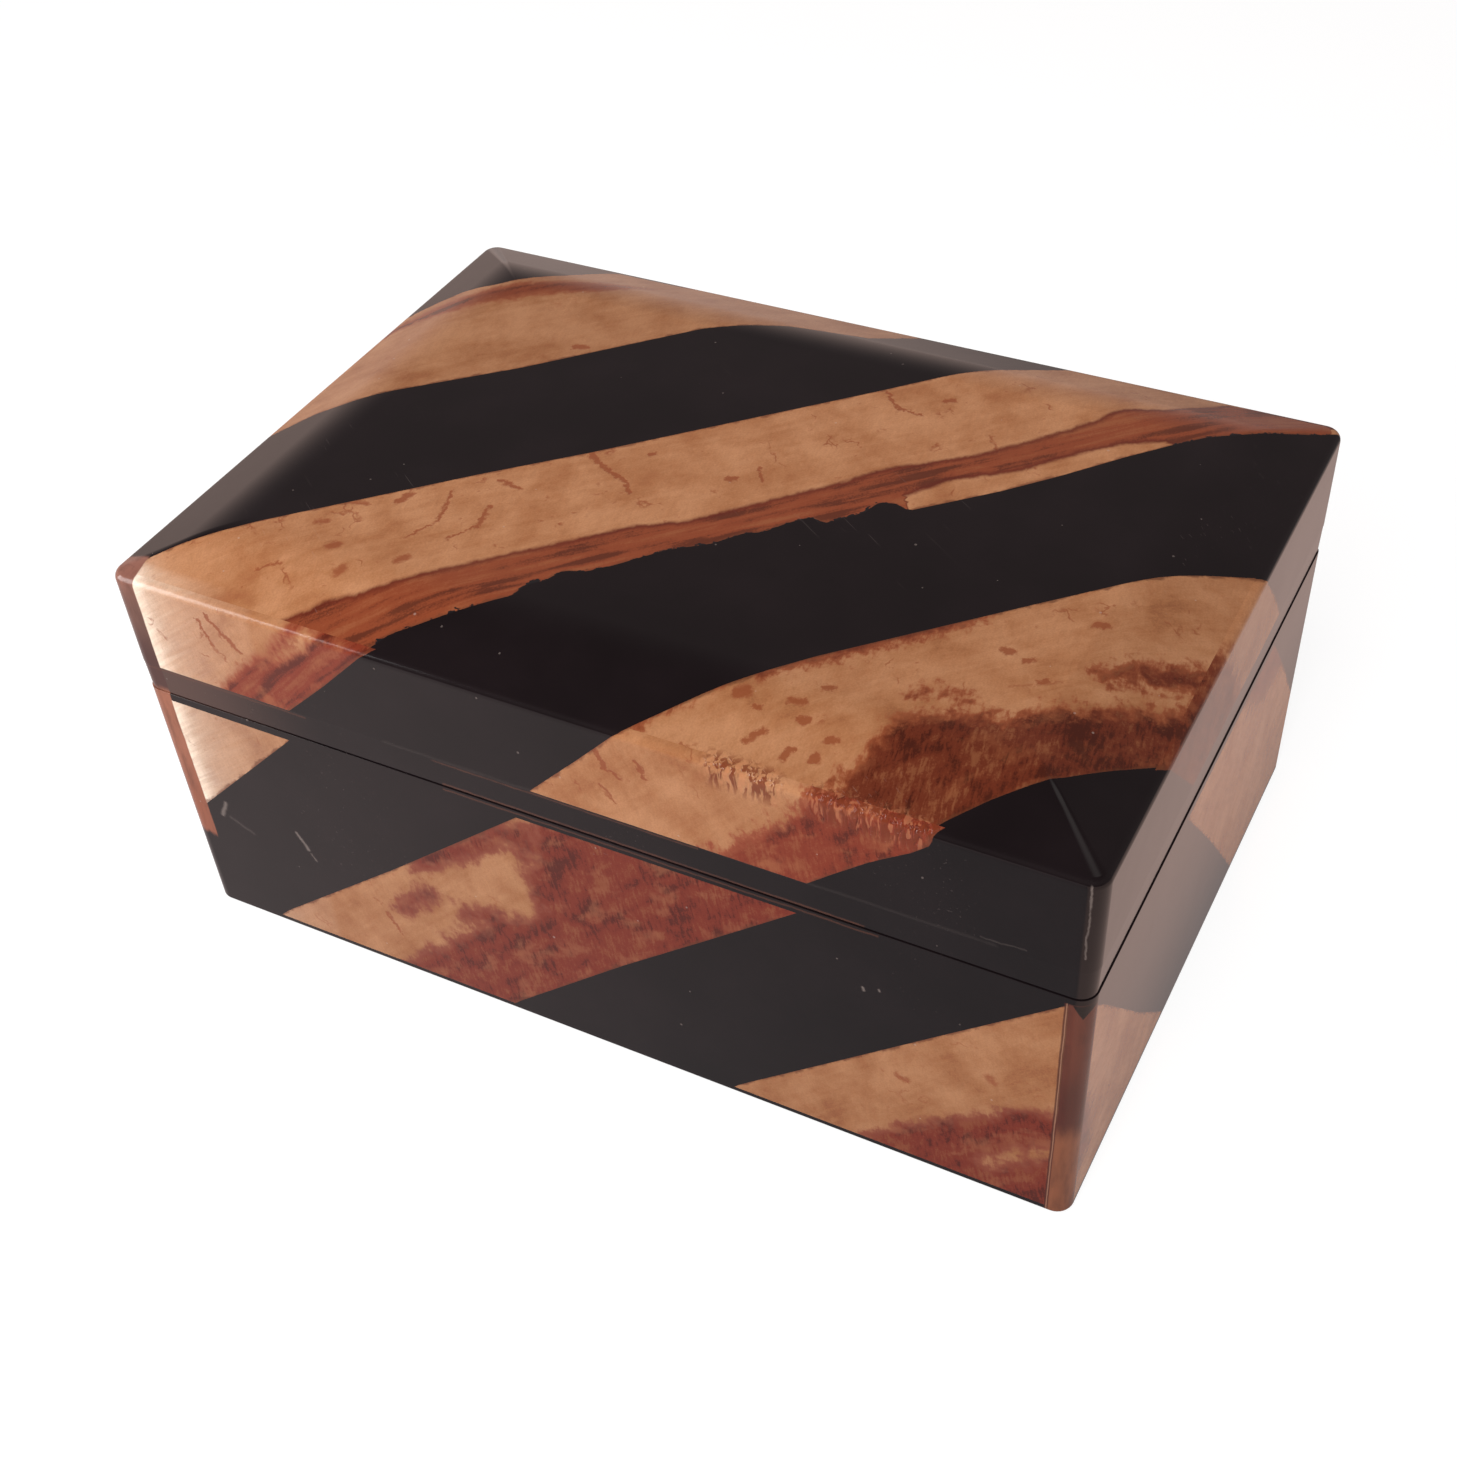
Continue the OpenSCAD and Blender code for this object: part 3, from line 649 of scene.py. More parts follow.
# The strips' two edges, as fold numbers against the run on the top and the height on the sides
LID_STRIPS = {
    "top": [
        ([(-60, -98.5), (-49.9, -98.9), (-41.6, -100), (-35.7, -99.6), (-28, -96.6), (-12, -96),
          (0, -98.6), (20, -92), (40, -84)],
         [(-90, -60.5), (-77, -61.9), (-71, -60.5), (-60, -59.8), (-31, -57.9), (11, -58), (20, -56.1),
          (30, -53), (45, -43)]),
        ([(-125, -23), (-112, -23), (-99, -21.9), (-48, -20.9), (-25, -19.8), (9, -19.2), (38, -18.7),
          (67, -18.8), (100, -18)],
         [(-95, 21.3), (-81, 20.8), (-75.5, 19.4), (-70.7, 20), (-59.8, 20.9), (-51.5, 21.3), (-48.1, 19.1),
          (-44, 19), (-40.3, 17.3), (-36.2, 19.3), (-30.8, 19.4), (-19.8, 18.5), (-10.7, 19.8), (-3.7, 18.9),
          (-0.5, 20), (5.3, 18.9), (10.2, 18.9), (12, 21.7), (20.5, 21.3), (24.1, 19.2), (27.4, 20.8),
          (28.6, 24), (48, 24.7), (61, 24.3), (76, 23.2), (86, 22.9), (93.5, 23), (100, 24.2), (117, 25.2),
          (130, 25.4)]),
        ([(-50, 60.8), (-37, 60.5), (-15, 60.2), (-3, 59.6), (18, 59.9), (43, 60.3), (65, 60.8), (75, 61.5),
          (84, 62.5), (90, 63)],
         [(-5, 104.5), (5, 103.3), (12.6, 103.1), (19.4, 103.5), (26, 104), (35, 103.5), (48, 103.6),
          (60, 104)]),
    ],
    "front": [
        ([(50, -23), (70, -23)], [(50, 20.6), (59, 21.3), (68, 21.4)]),
        ([(50, 61.5), (61, 61.1), (66, 60.8), (68, 60.6)],
         [(51.7, 103.4), (55, 103.8), (59.6, 104.6), (63.5, 106.2), (66, 106.4), (67.6, 104.6), (69, 104)]),
    ],
    "right": [
        ([(50, 0), (70, 0)], [(50, 25.2), (70, 25.2)]),
        ([(51.7, 65), (55, 64.3), (60, 63.6), (66, 63.5), (68.5, 62.6)], [(50, 105), (70, 104)]),
    ],
    "back": [
        ([(50, -168), (70, -168)], [(50, -130.6), (70, -130.6)]),
        ([(50, -92.5), (66, -90), (68, -88)], [(50, -58.5), (58, -54.5), (64, -48.5), (68, -43)]),
        ([(50, -21), (68, -18.5)], [(50, 20.5), (68, 25.2)]),
    ],
    "left": [
        ([(50, -168), (70, -168)], [(50, -130.6), (70, -130.6)]),
        ([(50, -95), (68, -98.8)], [(50, -58.5), (68, -60.7)]),
    ],
}
BASE_STRIPS = {
    "front": [
        ([(0, -30), (47, -30)], [(0, 25.1), (24, 24.9), (46, 25.4)]),
        ([(3.7, 55.8), (24, 60.6), (45.4, 64.6)], [(3.1, 101.2), (21, 103.5), (34, 106), (46.6, 108.3)]),
        ([(3.5, 139.8), (15, 141.4), (31, 143.5), (45.3, 145.6)], [(0, 400), (47, 400)]),
    ],
    "right": [
        ([(0, 77.5), (13.7, 76.2), (29, 73), (42.6, 71)], [(0, 118.4), (24, 114), (46.4, 111)]),
        ([(0, 152), (17.6, 150.8), (41.4, 147.3)], [(0, 400), (47, 400)]),
    ],
    "back": [
        ([(0, -176), (47, -168.7)], [(0, -138), (47, -130.6)]),
        ([(0, -96), (47, -88.4)], [(0, -62), (47, -54.4)]),
        ([(0, -26), (47, -17)], [(0, 16), (47, 24.5)]),
    ],
    "left": [
        ([(0, -161), (47, -168.7)], [(0, -123), (47, -130.6)]),
        ([(0, -81), (47, -88.4)], [(0, -47), (47, -54.4)]),
    ],
}
TOP_NODES = ("lid_rear_strip", "lid_middle_strip", "lid_front_strip")

# Red-brown areas: bands between two fold numbers against the run, and outlines on each side
BANDS = {
    "lid_top": [
        ([(-60, -97), (-47, -96.8), (-40, -97.4), (-34, -95.9), (-21, -94.3), (-10, -91.8), (2, -87),
          (12, -83)],
         [(-60, -92.6), (-47, -92), (-40, -89.6), (-30, -88.2), (-17, -86.6), (-6, -83), (3, -83.7),
          (12, -84)]),
        ([(-100, 5), (-90, 5.8), (-85.6, 5.5), (-80, 7.2), (-65.5, 7.8), (-48, 7.9), (-29.2, 8.3), (-24.4, 8),
          (-13.4, 10.6), (6.3, 10.1), (20.5, 9.7), (30.2, 8.6), (49, 11.1), (66, 10), (75.6, 8.9),
          (82.4, 6.6), (92, 9.5), (105, 8), (125, 3)],
         [(-100, 30), (28, 30), (29.5, 19.3), (41, 17.6), (53.4, 19.9), (67.8, 18.7), (78, 19), (86, 21.5),
          (90, 30), (125, 32)]),
        ([(-20, 56), (28, 56), (36, 50)],
         [(-20, 60.6), (-13.9, 61.7), (-3.6, 62.3), (18, 62.6), (26, 62), (36, 58)]),
    ],
    "lid_left": [([(-200, -96), (200, -96)], [(-200, -90), (200, -90)])],
    "lid_back": [
        ([(-200, 9), (200, 9)], [(-200, 30), (200, 30)]),
        ([(-200, -96), (200, -96)], [(-200, -84), (200, -84)]),
    ],
    "base_left": [([(-200, -90), (200, -90)], [(-200, -68), (200, -68)])],
    "base_back": [
        ([(-200, -74), (200, -70)], [(-200, -50), (200, -50)]),
        ([(-200, -26), (200, -20)], [(-200, 4), (200, -2)]),
    ],
}
AREAS = {
    "lid_top": [
        [(37.8, -55), (39.6, -45.8), (41.1, -42.2), (41.3, -38.5), (45.8, -34.9), (50.5, -32.5),
         (55.4, -31.9), (58.2, -28.5), (62.9, -26.2), (68.7, -21.8), (71.9, -17.7), (77, -12), (80, -20),
         (80, -45), (60, -60)],
        [(61.2, -20.8), (62.4, -17.8), (66.3, -13.8), (70.6, -10.9), (76, -9.5), (76, -15), (68.1, -18.9),
         (62.2, -22.8)],
        [(41.1, -33.9), (43.1, -31.2), (49.4, -29.7), (49.5, -31.3), (46.1, -32), (43.3, -35.2)],
    ],
    "lid_front": [
        [(-43.3, 68.4), (-47.8, 62.8), (-54.8, 56.7), (-60, 51), (-52, 47), (-40, 47), (-28, 62), (-26, 72),
         (-35.8, 72)],
        [(36.6, 75), (35.4, 65.9), (30.8, 60.3), (24, 54), (16, 49), (40, 49), (62, 60), (62, 75)],
    ],
    "lid_right": [[(-8, 72), (-40, 72), (-10, 48), (10, 48)]],
    "base_front": [
        [(-39, 0), (-26, 14), (-20, 27), (-8, 37), (-6, 50), (45, 50), (20, 26), (0, 0)],
        [(-31, 24), (-31, 30), (-15, 42), (-2, 48), (-8, 36), (-17, 33)],
        [(-37, 14), (-35, 18), (-28, 24), (-25, 22), (-34, 13)],
        [(38, -4), (46.9, 6.2), (50.8, 10), (55.4, 12.9), (58.4, 15.2), (62.1, 18.1), (65.6, 21.5),
         (68.1, 22.4), (76, 24), (80, -4)],
    ],
    "base_right": [[(8, 50), (16, 40), (24, 36), (34, 34), (44, 36), (56, 40), (56, 50)],
                   [(-53, 34), (-46, 22), (-44, 10), (-50, 6), (-53, 12)]],
}
# Pale scratches in the lacquer, and a painted highlight along the lower edge of the lid's skin: start, end,
# width and strength
SCRATCHES_AND_HIGHLIGHT = [
    ((-67.5, -51.5, 22.5), (-66, -51.5, 25.6), 0.6, 0.5),
    ((-66, -51.5, 22.5), (-62, -51.5, 20.4), 0.5, 0.12),
    ((-69.5, -51.5, 31), (-67.5, -51.5, 29.5), 1.4, 0.14),
    ((-67.2, -51.5, 33), (-66.6, -51.5, 30.5), 0.7, 0.16),
    ((-52.5, -51.5, 24.4), (-51, -51.5, 21.4), 0.5, 0.55),
    ((-50.6, -51.5, 20.6), (-50, -51.5, 19.4), 0.4, 0.35),
    ((73.0, -51.43, 69.0), (73.4, -51.3, 63.6), 0.26, 0.55),
    ((73.4, -51.3, 63.6), (73.3, -51.33, 54.5), 0.22, 0.45),
    ((60, -51.5, 52.6), (66, -51.5, 52.9), 0.25, 0.12),
    # A painted highlight along the lower edge of the lid's skin, just over the band
    ((-30, -51.5, 51.9), (62, -51.5, 51.9), 0.5, 0.045),
    ((44, -51.5, 35), (44.1, -51.5, 34.6), 0.35, 0.6),
    ((46.2, -51.5, 35.8), (46.3, -51.5, 35.5), 0.3, 0.6),
]
# Brown lines along the lacquer's edges: worn along the seam, and a painted highlight along the band's top
# edge
WEAR_AND_HIGHLIGHT_LINES = [
    ((-21, -51.4, 47.1), (44, -51.4, 47.1), 0.32, 0.7),
    ((-21, -51.5, 46.2), (46, -51.5, 46.2), 0.3, 0.55),
    # Painted highlight along the band's top edge
    ((-22, -51.5, 51.3), (20, -51.5, 51.3), 0.3, 0.6),
    ((-74, -51.5, 51.3), (-44, -51.5, 51.3), 0.35, 0.45),
]
# Where the strips' figure is puckered along the front edge of the lid, from one x to another, the
# height of that row, and how far it reaches up and down
RIDGES = ((21, 33.5), (35.5, 58))
RIDGE_Z, RIDGE_REACH = 66.5, 3
# Where the painted light at the front left starts and ends, and where the lid's streaky front part ends
LIGHT_X, LIGHT_END, STREAKY_END = -70.3, -50, -20
# Spots and cracks of the strips, on the top by x and y, on the front by x and z: start, end, width
# and strength
FLAWS = {
    "lid_rear_strip": [((-39.6, 22), (-38.2, 22.4), 1.0, 0.8)],
    "lid_middle_strip": [
        ((-22, -3), (-19, -5), 0.7, 0.9), ((-19, -5), (-14, -7), 0.55, 0.8),
        ((-14, -7), (-12, -9.5), 0.5, 0.7), ((-41, -41), (-40.5, -40), 1.3, 0.5),
        ((-45, -37), (-44.2, -36.5), 1.4, 0.6), ((-50, -33), (-49, -32.4), 1.2, 0.5),
        ((-42, -24), (-41.4, -22), 0.9, 0.7), ((-41.4, -22), (-43, -19.6), 0.5, 0.5),
        ((-34, -36), (-33.4, -35), 1.1, 0.6), ((11, 29), (14.5, 25.5), 0.5, 0.8),
        ((14.5, 25.5), (18.5, 25), 0.5, 0.7), ((20.6, 30), (21, 30.4), 0.9, 0.7),
        ((-0.5, -0.6), (0.2, -0.2), 0.9, 0.7), ((-14, 0.5), (-13.6, 0.8), 0.8, 0.7),
        ((-36, -19), (-34, -26), 0.55, 0.6), ((-34, -26), (-36, -31), 0.45, 0.55),
        ((-29, -20), (-28, -25), 0.6, 0.6), ((-28, -25), (-30.5, -29), 0.5, 0.6),
        ((-31, -14), (-27.5, -14.5), 0.7, 0.6), ((2.5, 3.5), (4, 1), 0.5, 0.6),
        ((30, 24), (33, 19.5), 0.5, 0.5), ((-48, -27), (-46, -26.4), 1.0, 0.5),
        ((-53, -44), (-50, -42), 0.5, 0.5),
    ],
    "lid_front_strip": [
        ((22, -41), (22.8, -40.6), 1.4, 0.7), ((29, -40), (30.4, -39.6), 1.0, 0.6),
        ((32, -36.5), (33, -36.2), 0.9, 0.6), ((25, -42.5), (25.6, -42.3), 0.8, 0.7),
        ((31.6, -42.4), (32, -42.2), 0.9, 0.7), ((36, -44), (36.6, -43.7), 0.9, 0.7),
        ((31.4, -47.5), (31.8, -46.4), 0.9, 0.8), ((35, -47), (35.6, -46.5), 0.9, 0.8),
        ((50, -20.7), (50.9, -20.3), 1.0, 0.8), ((59, -11), (59.8, -10.8), 1.1, 0.8),
        ((53, -21.5), (54, -21), 0.8, 0.6), ((56, -24.6), (57, -24), 0.7, 0.6),
        ((53, -27), (58.6, -23.6), 0.7, 0.35), ((26, -47), (27.5, -45), 0.8, 0.6),
    ],
    "lid_front_veneer": [
        ((-59.5, 64.6), (-58, 60), 0.5, 0.7), ((-57.6, 65.6), (-53, 60.5), 0.6, 0.8),
        ((5, 66), (7, 61), 0.6, 0.7), ((7, 61), (9.5, 60), 0.5, 0.6), ((1, 63.5), (1.6, 62.6), 0.8, 0.5),
        ((-6, 61), (-3, 57.6), 0.5, 0.5), ((12, 64), (13, 61.5), 0.6, 0.7), ((-12, 55), (-9, 54.6), 0.6, 0.6),
        ((6, 57.5), (8, 55), 0.5, 0.5), ((-16, 54.6), (-2, 54.4), 0.35, 0.45),
    ],
    "base_front_veneer": [
        ((-35, 17), (-34.2, 16.4), 1.1, 0.6), ((-31, 9), (-29.6, 6), 0.6, 0.6),
        ((-38, 13), (-36, 9), 0.5, 0.6), ((55.4, 36.6), (55.8, 36), 0.9, 0.7),
        ((53.4, 35), (53.7, 34.6), 0.5, 0.7), ((62, 25.6), (63, 25), 1.3, 0.45),
        ((49, 19), (50.6, 18.4), 0.9, 0.5), ((-40, 15.5), (-38, 14.2), 0.4, 0.4),
    ],
}
# Pale islands inside the red-brown areas
ISLANDS = {
    "lid_top": [
        [(62, -23.5), (66, -20.5), (73, -16.2), (74, -18), (66, -24)],
        [(45, -33.8), (52, -31.4), (60, -27), (59, -28), (50, -33.3)],
    ],
    "lid_front": [[(-40.4, 68), (-42.5, 66.5), (-45.5, 62), (-46.5, 61), (-43, 63.5), (-38.5, 67.5)]],
    "base_front": [
        [(-28.4, 23.6), (-22.4, 27.7), (-19.2, 31.4), (-16.3, 34.4), (-10.1, 38.6), (-9.9, 33.8),
         (-9.9, 30.1), (-8.4, 27.7), (-9.7, 25.2), (-14.2, 22.4), (-14.2, 24.4), (-20.8, 22.5),
         (-24.6, 22.8)],
        [(-32, 10.2), (-28.4, 13.1), (-23.2, 16.3), (-18.9, 19), (-26.6, 12.2), (-29.3, 8.5)],
        [(62, 6.4), (67, 11.6), (71.6, 15), (71.6, 13.4), (66.6, 9.9), (63.3, 6.3)],
    ],
}


def folded(name, place):
    """Fold coordinates of a flaw given by x and y on the top, or by x and z on the front."""
    a, b = place
    if name in TOP_NODES:
        return (a + b, a - b, 0)
    y, drop = FRONT_Y, EDGE_Z - b
    return (a + y - drop, a - y + drop, 0)


def interpolate(table, at):
    """Value of a table of pairs at a place, level past its ends."""
    if at <= table[0][0]:
        return table[0][1]
    if at >= table[-1][0]:
        return table[-1][1]
    k = bisect_right(table, (at, FAR)) - 1
    (a, u), (b, v) = table[k], table[k + 1]
    return u + (v - u) * (at - a) / (b - a)


def reach(points, outline):
    """Signed distance of points to an outline, above 0 inside it."""
    points = np.asarray(points, float)
    corners = np.asarray(outline, float)
    nearest = np.full(len(points), FAR)
    inside = np.zeros(len(points), bool)
    for a, b in zip(corners, np.roll(corners, -1, 0)):
        edge = b - a
        along = np.clip(((points - a) @ edge) / (edge @ edge), 0, 1)
        nearest = np.minimum(nearest, np.hypot(*(points - a - along[:, None] * edge).T))
        crosses = (a[1] > points[:, 1]) != (b[1] > points[:, 1])
        rise = edge[1] if edge[1] else TINY
        inside ^= crosses & (points[:, 0] < a[0] + (points[:, 1] - a[1]) / rise * edge[0])
    return np.where(inside, nearest, -nearest)


class Skin:
    """A skin drawn as polygons. A point's row holds its place, its normal, the place of its twin
    on the inside, and its drop below the lid's edge."""

    def __init__(self, strips):
        self.strips = strips
        self.rows = []
        self.known = {}
        self.polygons = []
        self.crossings = {}
        self.on_edge = {}
        self.levels = {}

    def point(self, place, normal, twin, drop):
        """The number of the point at a place, which is added if it's new."""
        key = tuple(round(v, 4) for v in place)
        if key not in self.known:
            self.known[key] = len(self.rows)
            self.rows.append(np.array([*place, *normal, *twin, drop], float))
        return self.known[key]

    def add(self, side, kind, ids):
        """Adds a polygon on a side, without the points that it has twice."""
        ids = [v for k, v in enumerate(ids) if v != ids[k - 1]]
        if len(ids) > 2:
            self.polygons.append((side, kind, ids))

    def level_of(self, v, side):
        """How far a point lies past each strip edge of a side."""
        if (v, side) not in self.levels:
            row = self.rows[v]
            number = row[0] - row[1] + FOLDS[side][0] * row[DROP]
            at = row[0] + row[1] if side == "top" else row[2]
            edges = (edge for strip in self.strips[side] for edge in strip)
            self.levels[v, side] = [number - interpolate(edge, at) for edge in edges]
        return self.levels[v, side]

    def crossing(self, side, k, a, b):
        """The point where strip edge k crosses the line from a to b; close ones are shared."""
        low, high = sorted((a, b))
        key = (side, k, low, high)
        if key not in self.crossings:
            u, v = self.level_of(low, side)[k], self.level_of(high, side)[k]
            share = u / (u - v)
            near = [p for t, p in self.on_edge.get((low, high), []) if abs(t - share) < SHARED]
            if near:
                self.crossings[key] = near[0]
            else:
                row = self.rows[low] * (1 - share) + self.rows[high] * share
                row[NORMAL] /= np.linalg.norm(row[NORMAL])
                self.rows.append(row)
                self.crossings[key] = len(self.rows) - 1
                self.on_edge.setdefault((low, high), []).append((share, len(self.rows) - 1))
        return self.crossings[key]

    def cut(self, side, k, ids):
        """The parts of a polygon before and past strip edge k."""
        signs = [0 if abs(value) < ON_EDGE else (1 if value > 0 else -1)
                 for value in (self.level_of(v, side)[k] for v in ids)]
        if 1 not in signs:
            return ids, None
        if -1 not in signs:
            return None, ids
        before, past = [], []
        for i, a in enumerate(ids):
            j = (i + 1) % len(ids)
            if signs[i] <= 0:
                before.append(a)
            if signs[i] >= 0:
                past.append(a)
            if signs[i] * signs[j] < 0:
                middle = self.crossing(side, k, a, ids[j])
                before.append(middle)
                past.append(middle)
        return before, past

    def divide(self, name_of):
        """Cuts every polygon at the strip edges; returns the polygons by node name."""
        parts = {}
        for side, kind, rest in self.polygons:
            edges = 0 if kind == "plain" else 2 * len(self.strips[side])
            for k in range(edges):
                before, rest = self.cut(side, k, rest)
                if before and len(before) > 2:
                    strip = k // 2 if k % 2 else None
                    parts.setdefault(name_of(side, strip), []).append((side, before))
                if not rest or len(rest) < 3:
                    rest = None
                    break
            if rest:
                parts.setdefault(name_of(side, None), []).append((side, rest))
        return {name: [(side, self.full(ids)) for side, ids in found] for name, found in parts.items()}

    def between(self, a, b):
        """The points that cuts have put on an edge, from a to b."""
        found = sorted(self.on_edge.get((min(a, b), max(a, b)), []), reverse=a > b)
        chain = [a] + [p for _, p in found] + [b]
        if len(chain) == 2:
            return [a]
        return [v for u, w in zip(chain, chain[1:]) for v in self.between(u, w)]

    def full(self, ids):
        """A polygon with the points that its neighbours' cuts have put on its edges."""
        return [v for a, b in zip(ids, ids[1:] + ids[:1]) for v in self.between(a, b)]


def stand_for(piece, body, node):
    """Lets a piece ride a body in place of a CAD node."""
    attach(piece, body)
    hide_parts(node)


def linked(name, mesh):
    """A new object in the scene."""
    made = bpy.data.objects.new(name, mesh)
    bpy.context.scene.collection.objects.link(made)
    return made


def shell(name, skin, found, body, material):
    """Makes one closed piece from a part of a skin: its outside, its inside and the walls between."""
    used = sorted({v for _, ids in found for v in ids})
    at = {v: k for k, v in enumerate(used)}
    rows = np.array([skin.rows[v] for v in used])
    count = len(used)
    faces, corners, normals, sides = [], [], [], []

    def face(side, ids, lift, directions):
        """Adds a face; the lift of a corner tells its outer point from its inner one."""
        faces.append([at[v] + count * up for v, up in zip(ids, lift)])
        corners.extend(ids)
        sides.extend([side] * len(ids))
        normals.extend(directions)

    edges = {(a, b): side for side, ids in found for a, b in zip(ids, ids[1:] + ids[:1])}
    for side, ids in found:
        face(side, ids, [0] * len(ids), [skin.rows[v][NORMAL] for v in ids])
    for side, ids in found:
        back = ids[::-1]
        face(side, back, [1] * len(ids), [-skin.rows[v][NORMAL] for v in back])
    for (a, b), side in edges.items():
        if (b, a) not in edges:
            p, q, r = skin.rows[b][PLACE], skin.rows[a][PLACE], skin.rows[a][TWIN]
            flat = np.cross(q - p, r - p)
            size = np.linalg.norm(flat)
            way = flat / size if size > TINY else np.array((0.0, 0.0, 1.0))
            face(side, (b, a, a, b), (0, 0, 1, 1), [way] * 4)

    mesh = bpy.data.meshes.new(name)
    mesh.from_pydata([tuple(v) for v in np.vstack((rows[:, PLACE], rows[:, TWIN])) * MM], [], faces)
    mesh.polygons.foreach_set("use_smooth", [True] * len(faces))
    corner_rows = np.array([skin.rows[v] for v in corners])
    signs = np.array([FOLDS[side] for side in sides], float)
    number = corner_rows[:, 0] - corner_rows[:, 1] + signs[:, 0] * corner_rows[:, DROP]
    run = corner_rows[:, 0] + corner_rows[:, 1] + signs[:, 1] * corner_rows[:, DROP]
    uv = mesh.uv_layers.new(name="fold")
    uv.data.foreach_set("uv", (np.stack((run, number), 1) * MM).astype(np.float32).ravel())
    for label, values in finish_values(skin, body, np.array(sides), corner_rows, number, run).items():
        attribute = mesh.attributes.new(label, "FLOAT", "CORNER")
        attribute.data.foreach_set("value", np.asarray(values, np.float32))
    mesh.normals_split_custom_set([tuple(v) for v in normals])
    mesh.validate()
    mesh.materials.append(material)
    stand_for(linked(name + "_skin", mesh), body, name)


def finish_values(skin, body, sides, rows, number, run):
    """Values of a piece's corners for its material: how deep each lies in a stain and how far from the
    strips' edges, in millimetres, and its painted light, puckering and streakiness from 0 to 1."""
    stain = np.full(len(rows), -STAIN_REACH)
    rim = np.full(len(rows), RIM_REACH)
    for side in set(sides):
        mine = sides == side
        points = rows[mine][:, PLANES[side]]
        at = rows[mine][:, 0] + rows[mine][:, 1] if side == "top" else rows[mine][:, 2]
        key = body + "_" + side
        value = np.full(mine.sum(), -STAIN_REACH)
        for low, high in BANDS.get(key, []):
            a = np.interp(run[mine], *zip(*low))
            b = np.interp(run[mine], *zip(*high))
            value = np.maximum(value, np.minimum(number[mine] - a, b - number[mine]) / math.sqrt(2))
        for outline in AREAS.get(key, []):
            value = np.maximum(value, reach(points, outline))
        for outline in ISLANDS.get(key, []):
            value = np.minimum(value, -reach(points, outline))
        stain[mine] = np.clip(value, -STAIN_REACH, STAIN_REACH)
        near = np.full(mine.sum(), RIM_REACH)
        for edge in (edge for strip in skin.strips[side] for edge in strip):
            near = np.minimum(near, abs(number[mine] - np.interp(at, *zip(*edge))) / math.sqrt(2))
        rim[mine] = near

    # Painted light at the front left corner: on the front beside the corner strip, along the top edge, and on
    # the top round the corner itself
    x, y, z = rows[:, 0], rows[:, 1], rows[:, 2]
    away = np.clip(x - LIGHT_X, 0, None)
    at_left = 1.1 * np.exp(-away / 1.1) + 0.52 * np.exp(-away / 8)
    at_top = np.clip(1 - abs(z - 68) / 2.2, 0, 1) * np.clip(1 - (x + 74) / 20, 0, 1) * (y < -48)
    on_top = at_top * 0.35 + 0.6 * np.exp(-np.hypot(x + 70, y + 50) / 1.6)
    lit = x < LIGHT_END
    glow = np.where((sides == "front") & lit, np.clip(np.maximum(at_left, at_top * 0.7), 0, 1), 0)
    glow = np.where((sides == "top") & lit, on_top, glow)

    streaky = ((body == "lid") & (sides == "front") & (x < STREAKY_END)).astype(float)
    crease = np.clip(1 - abs(z - RIDGE_Z) / RIDGE_REACH, 0, 1) * (y < -49.3)
    windows = sum(np.clip(np.minimum(x - start, end - x) / 2, 0, 1) for start, end in RIDGES)
    ridge = np.clip(crease * 1.7, 0, 1) * windows
    return {"stain": stain, "rim": rim, "glow": glow, "ridge": ridge, "streaky": streaky}


class Plan:
    """Nested rounded rectangles that share their columns of points."""

    def __init__(self, sizes, keys=()):
        self.half = (sizes.length / MM / 2, sizes.depth / MM / 2)
        self.corner = sizes.corner / MM
        self.long = self.shares(LONG_COLUMNS, keys)
        self.short = self.shares(SHORT_COLUMNS)
        self.columns = []
        for k in range(len(SIDES)):
            self.columns += [(k, share, None) for share in (self.long if k % 2 == 0 else self.short)]
            self.columns += [(k, None, step / CORNER_COLUMNS) for step in range(1, CORNER_COLUMNS)]

    @staticmethod
    def shares(halves, keys=()):
        """Places along a side from -1 to 1, with the given ones among them."""
        steps = sorted({0.0, 1.0, *keys})
        right = []
        for a, b in zip(steps, steps[1:]):
            count = max(1, round((b - a) * halves))
            right += [a + (b - a) * k / count for k in range(count)]
        right.append(1.0)
        return [-v for v in right[:0:-1]] + right

    def place(self, column, inset, radius):
        """Plan place and outward direction of a column on a loop."""
        k, share, turn = column
        half_l, half_w = self.half[0] - inset, self.half[1] - inset
        angle = math.radians(-90 + 90 * k)
        out = (math.cos(angle), math.sin(angle))
        along = (-out[1], out[0])
        reach_out, reach_along = (half_w, half_l) if k % 2 == 0 else (half_l, half_w)
        s = reach_along - radius
        if share is not None:
            s *= share
            return (out[0] * reach_out + along[0] * s, out[1] * reach_out + along[1] * s), out
        angle += math.radians(90) * turn
        way = (math.cos(angle), math.sin(angle))
        centre = (out[0] * (reach_out - radius) + along[0] * s, out[1] * (reach_out - radius) + along[1] * s)
        return (centre[0] + way[0] * radius, centre[1] + way[1] * radius), way

    def ring(self, skin, profile_point, twin_of, edge_z):
        """Puts one loop of points in the skin. The profile gives inset, height, tilt and radius, the
        height as a function of the plan place; twin_of gives the inner place of a column."""
        inset, z_of, tilt, radius = profile_point
        found = []
        for column in self.columns:
            (x, y), way = self.place(column, inset, radius)
            normal = (way[0] * math.sin(tilt), way[1] * math.sin(tilt), math.cos(tilt))
            z = z_of(x, y)
            found.append(skin.point((x, y, z), normal, twin_of(column), max(0, edge_z - z)))
        return found

    def weave(self, skin, rings, kind_of):
        """Joins the points of neighbouring rings; kind_of gives the side, or None, and the kind."""
        total = len(self.columns)
        for i, (ring, below) in enumerate(zip(rings, rings[1:])):
            where, kind = kind_of(i)
            for j, (k, _, turn) in enumerate(self.columns):
                nxt = (j + 1) % total
                side = SIDES[(k + 1) % 4] if turn is not None and turn >= 0.5 else SIDES[k]
                skin.add(where or side, kind, [ring[j], below[j], below[nxt], ring[nxt]])


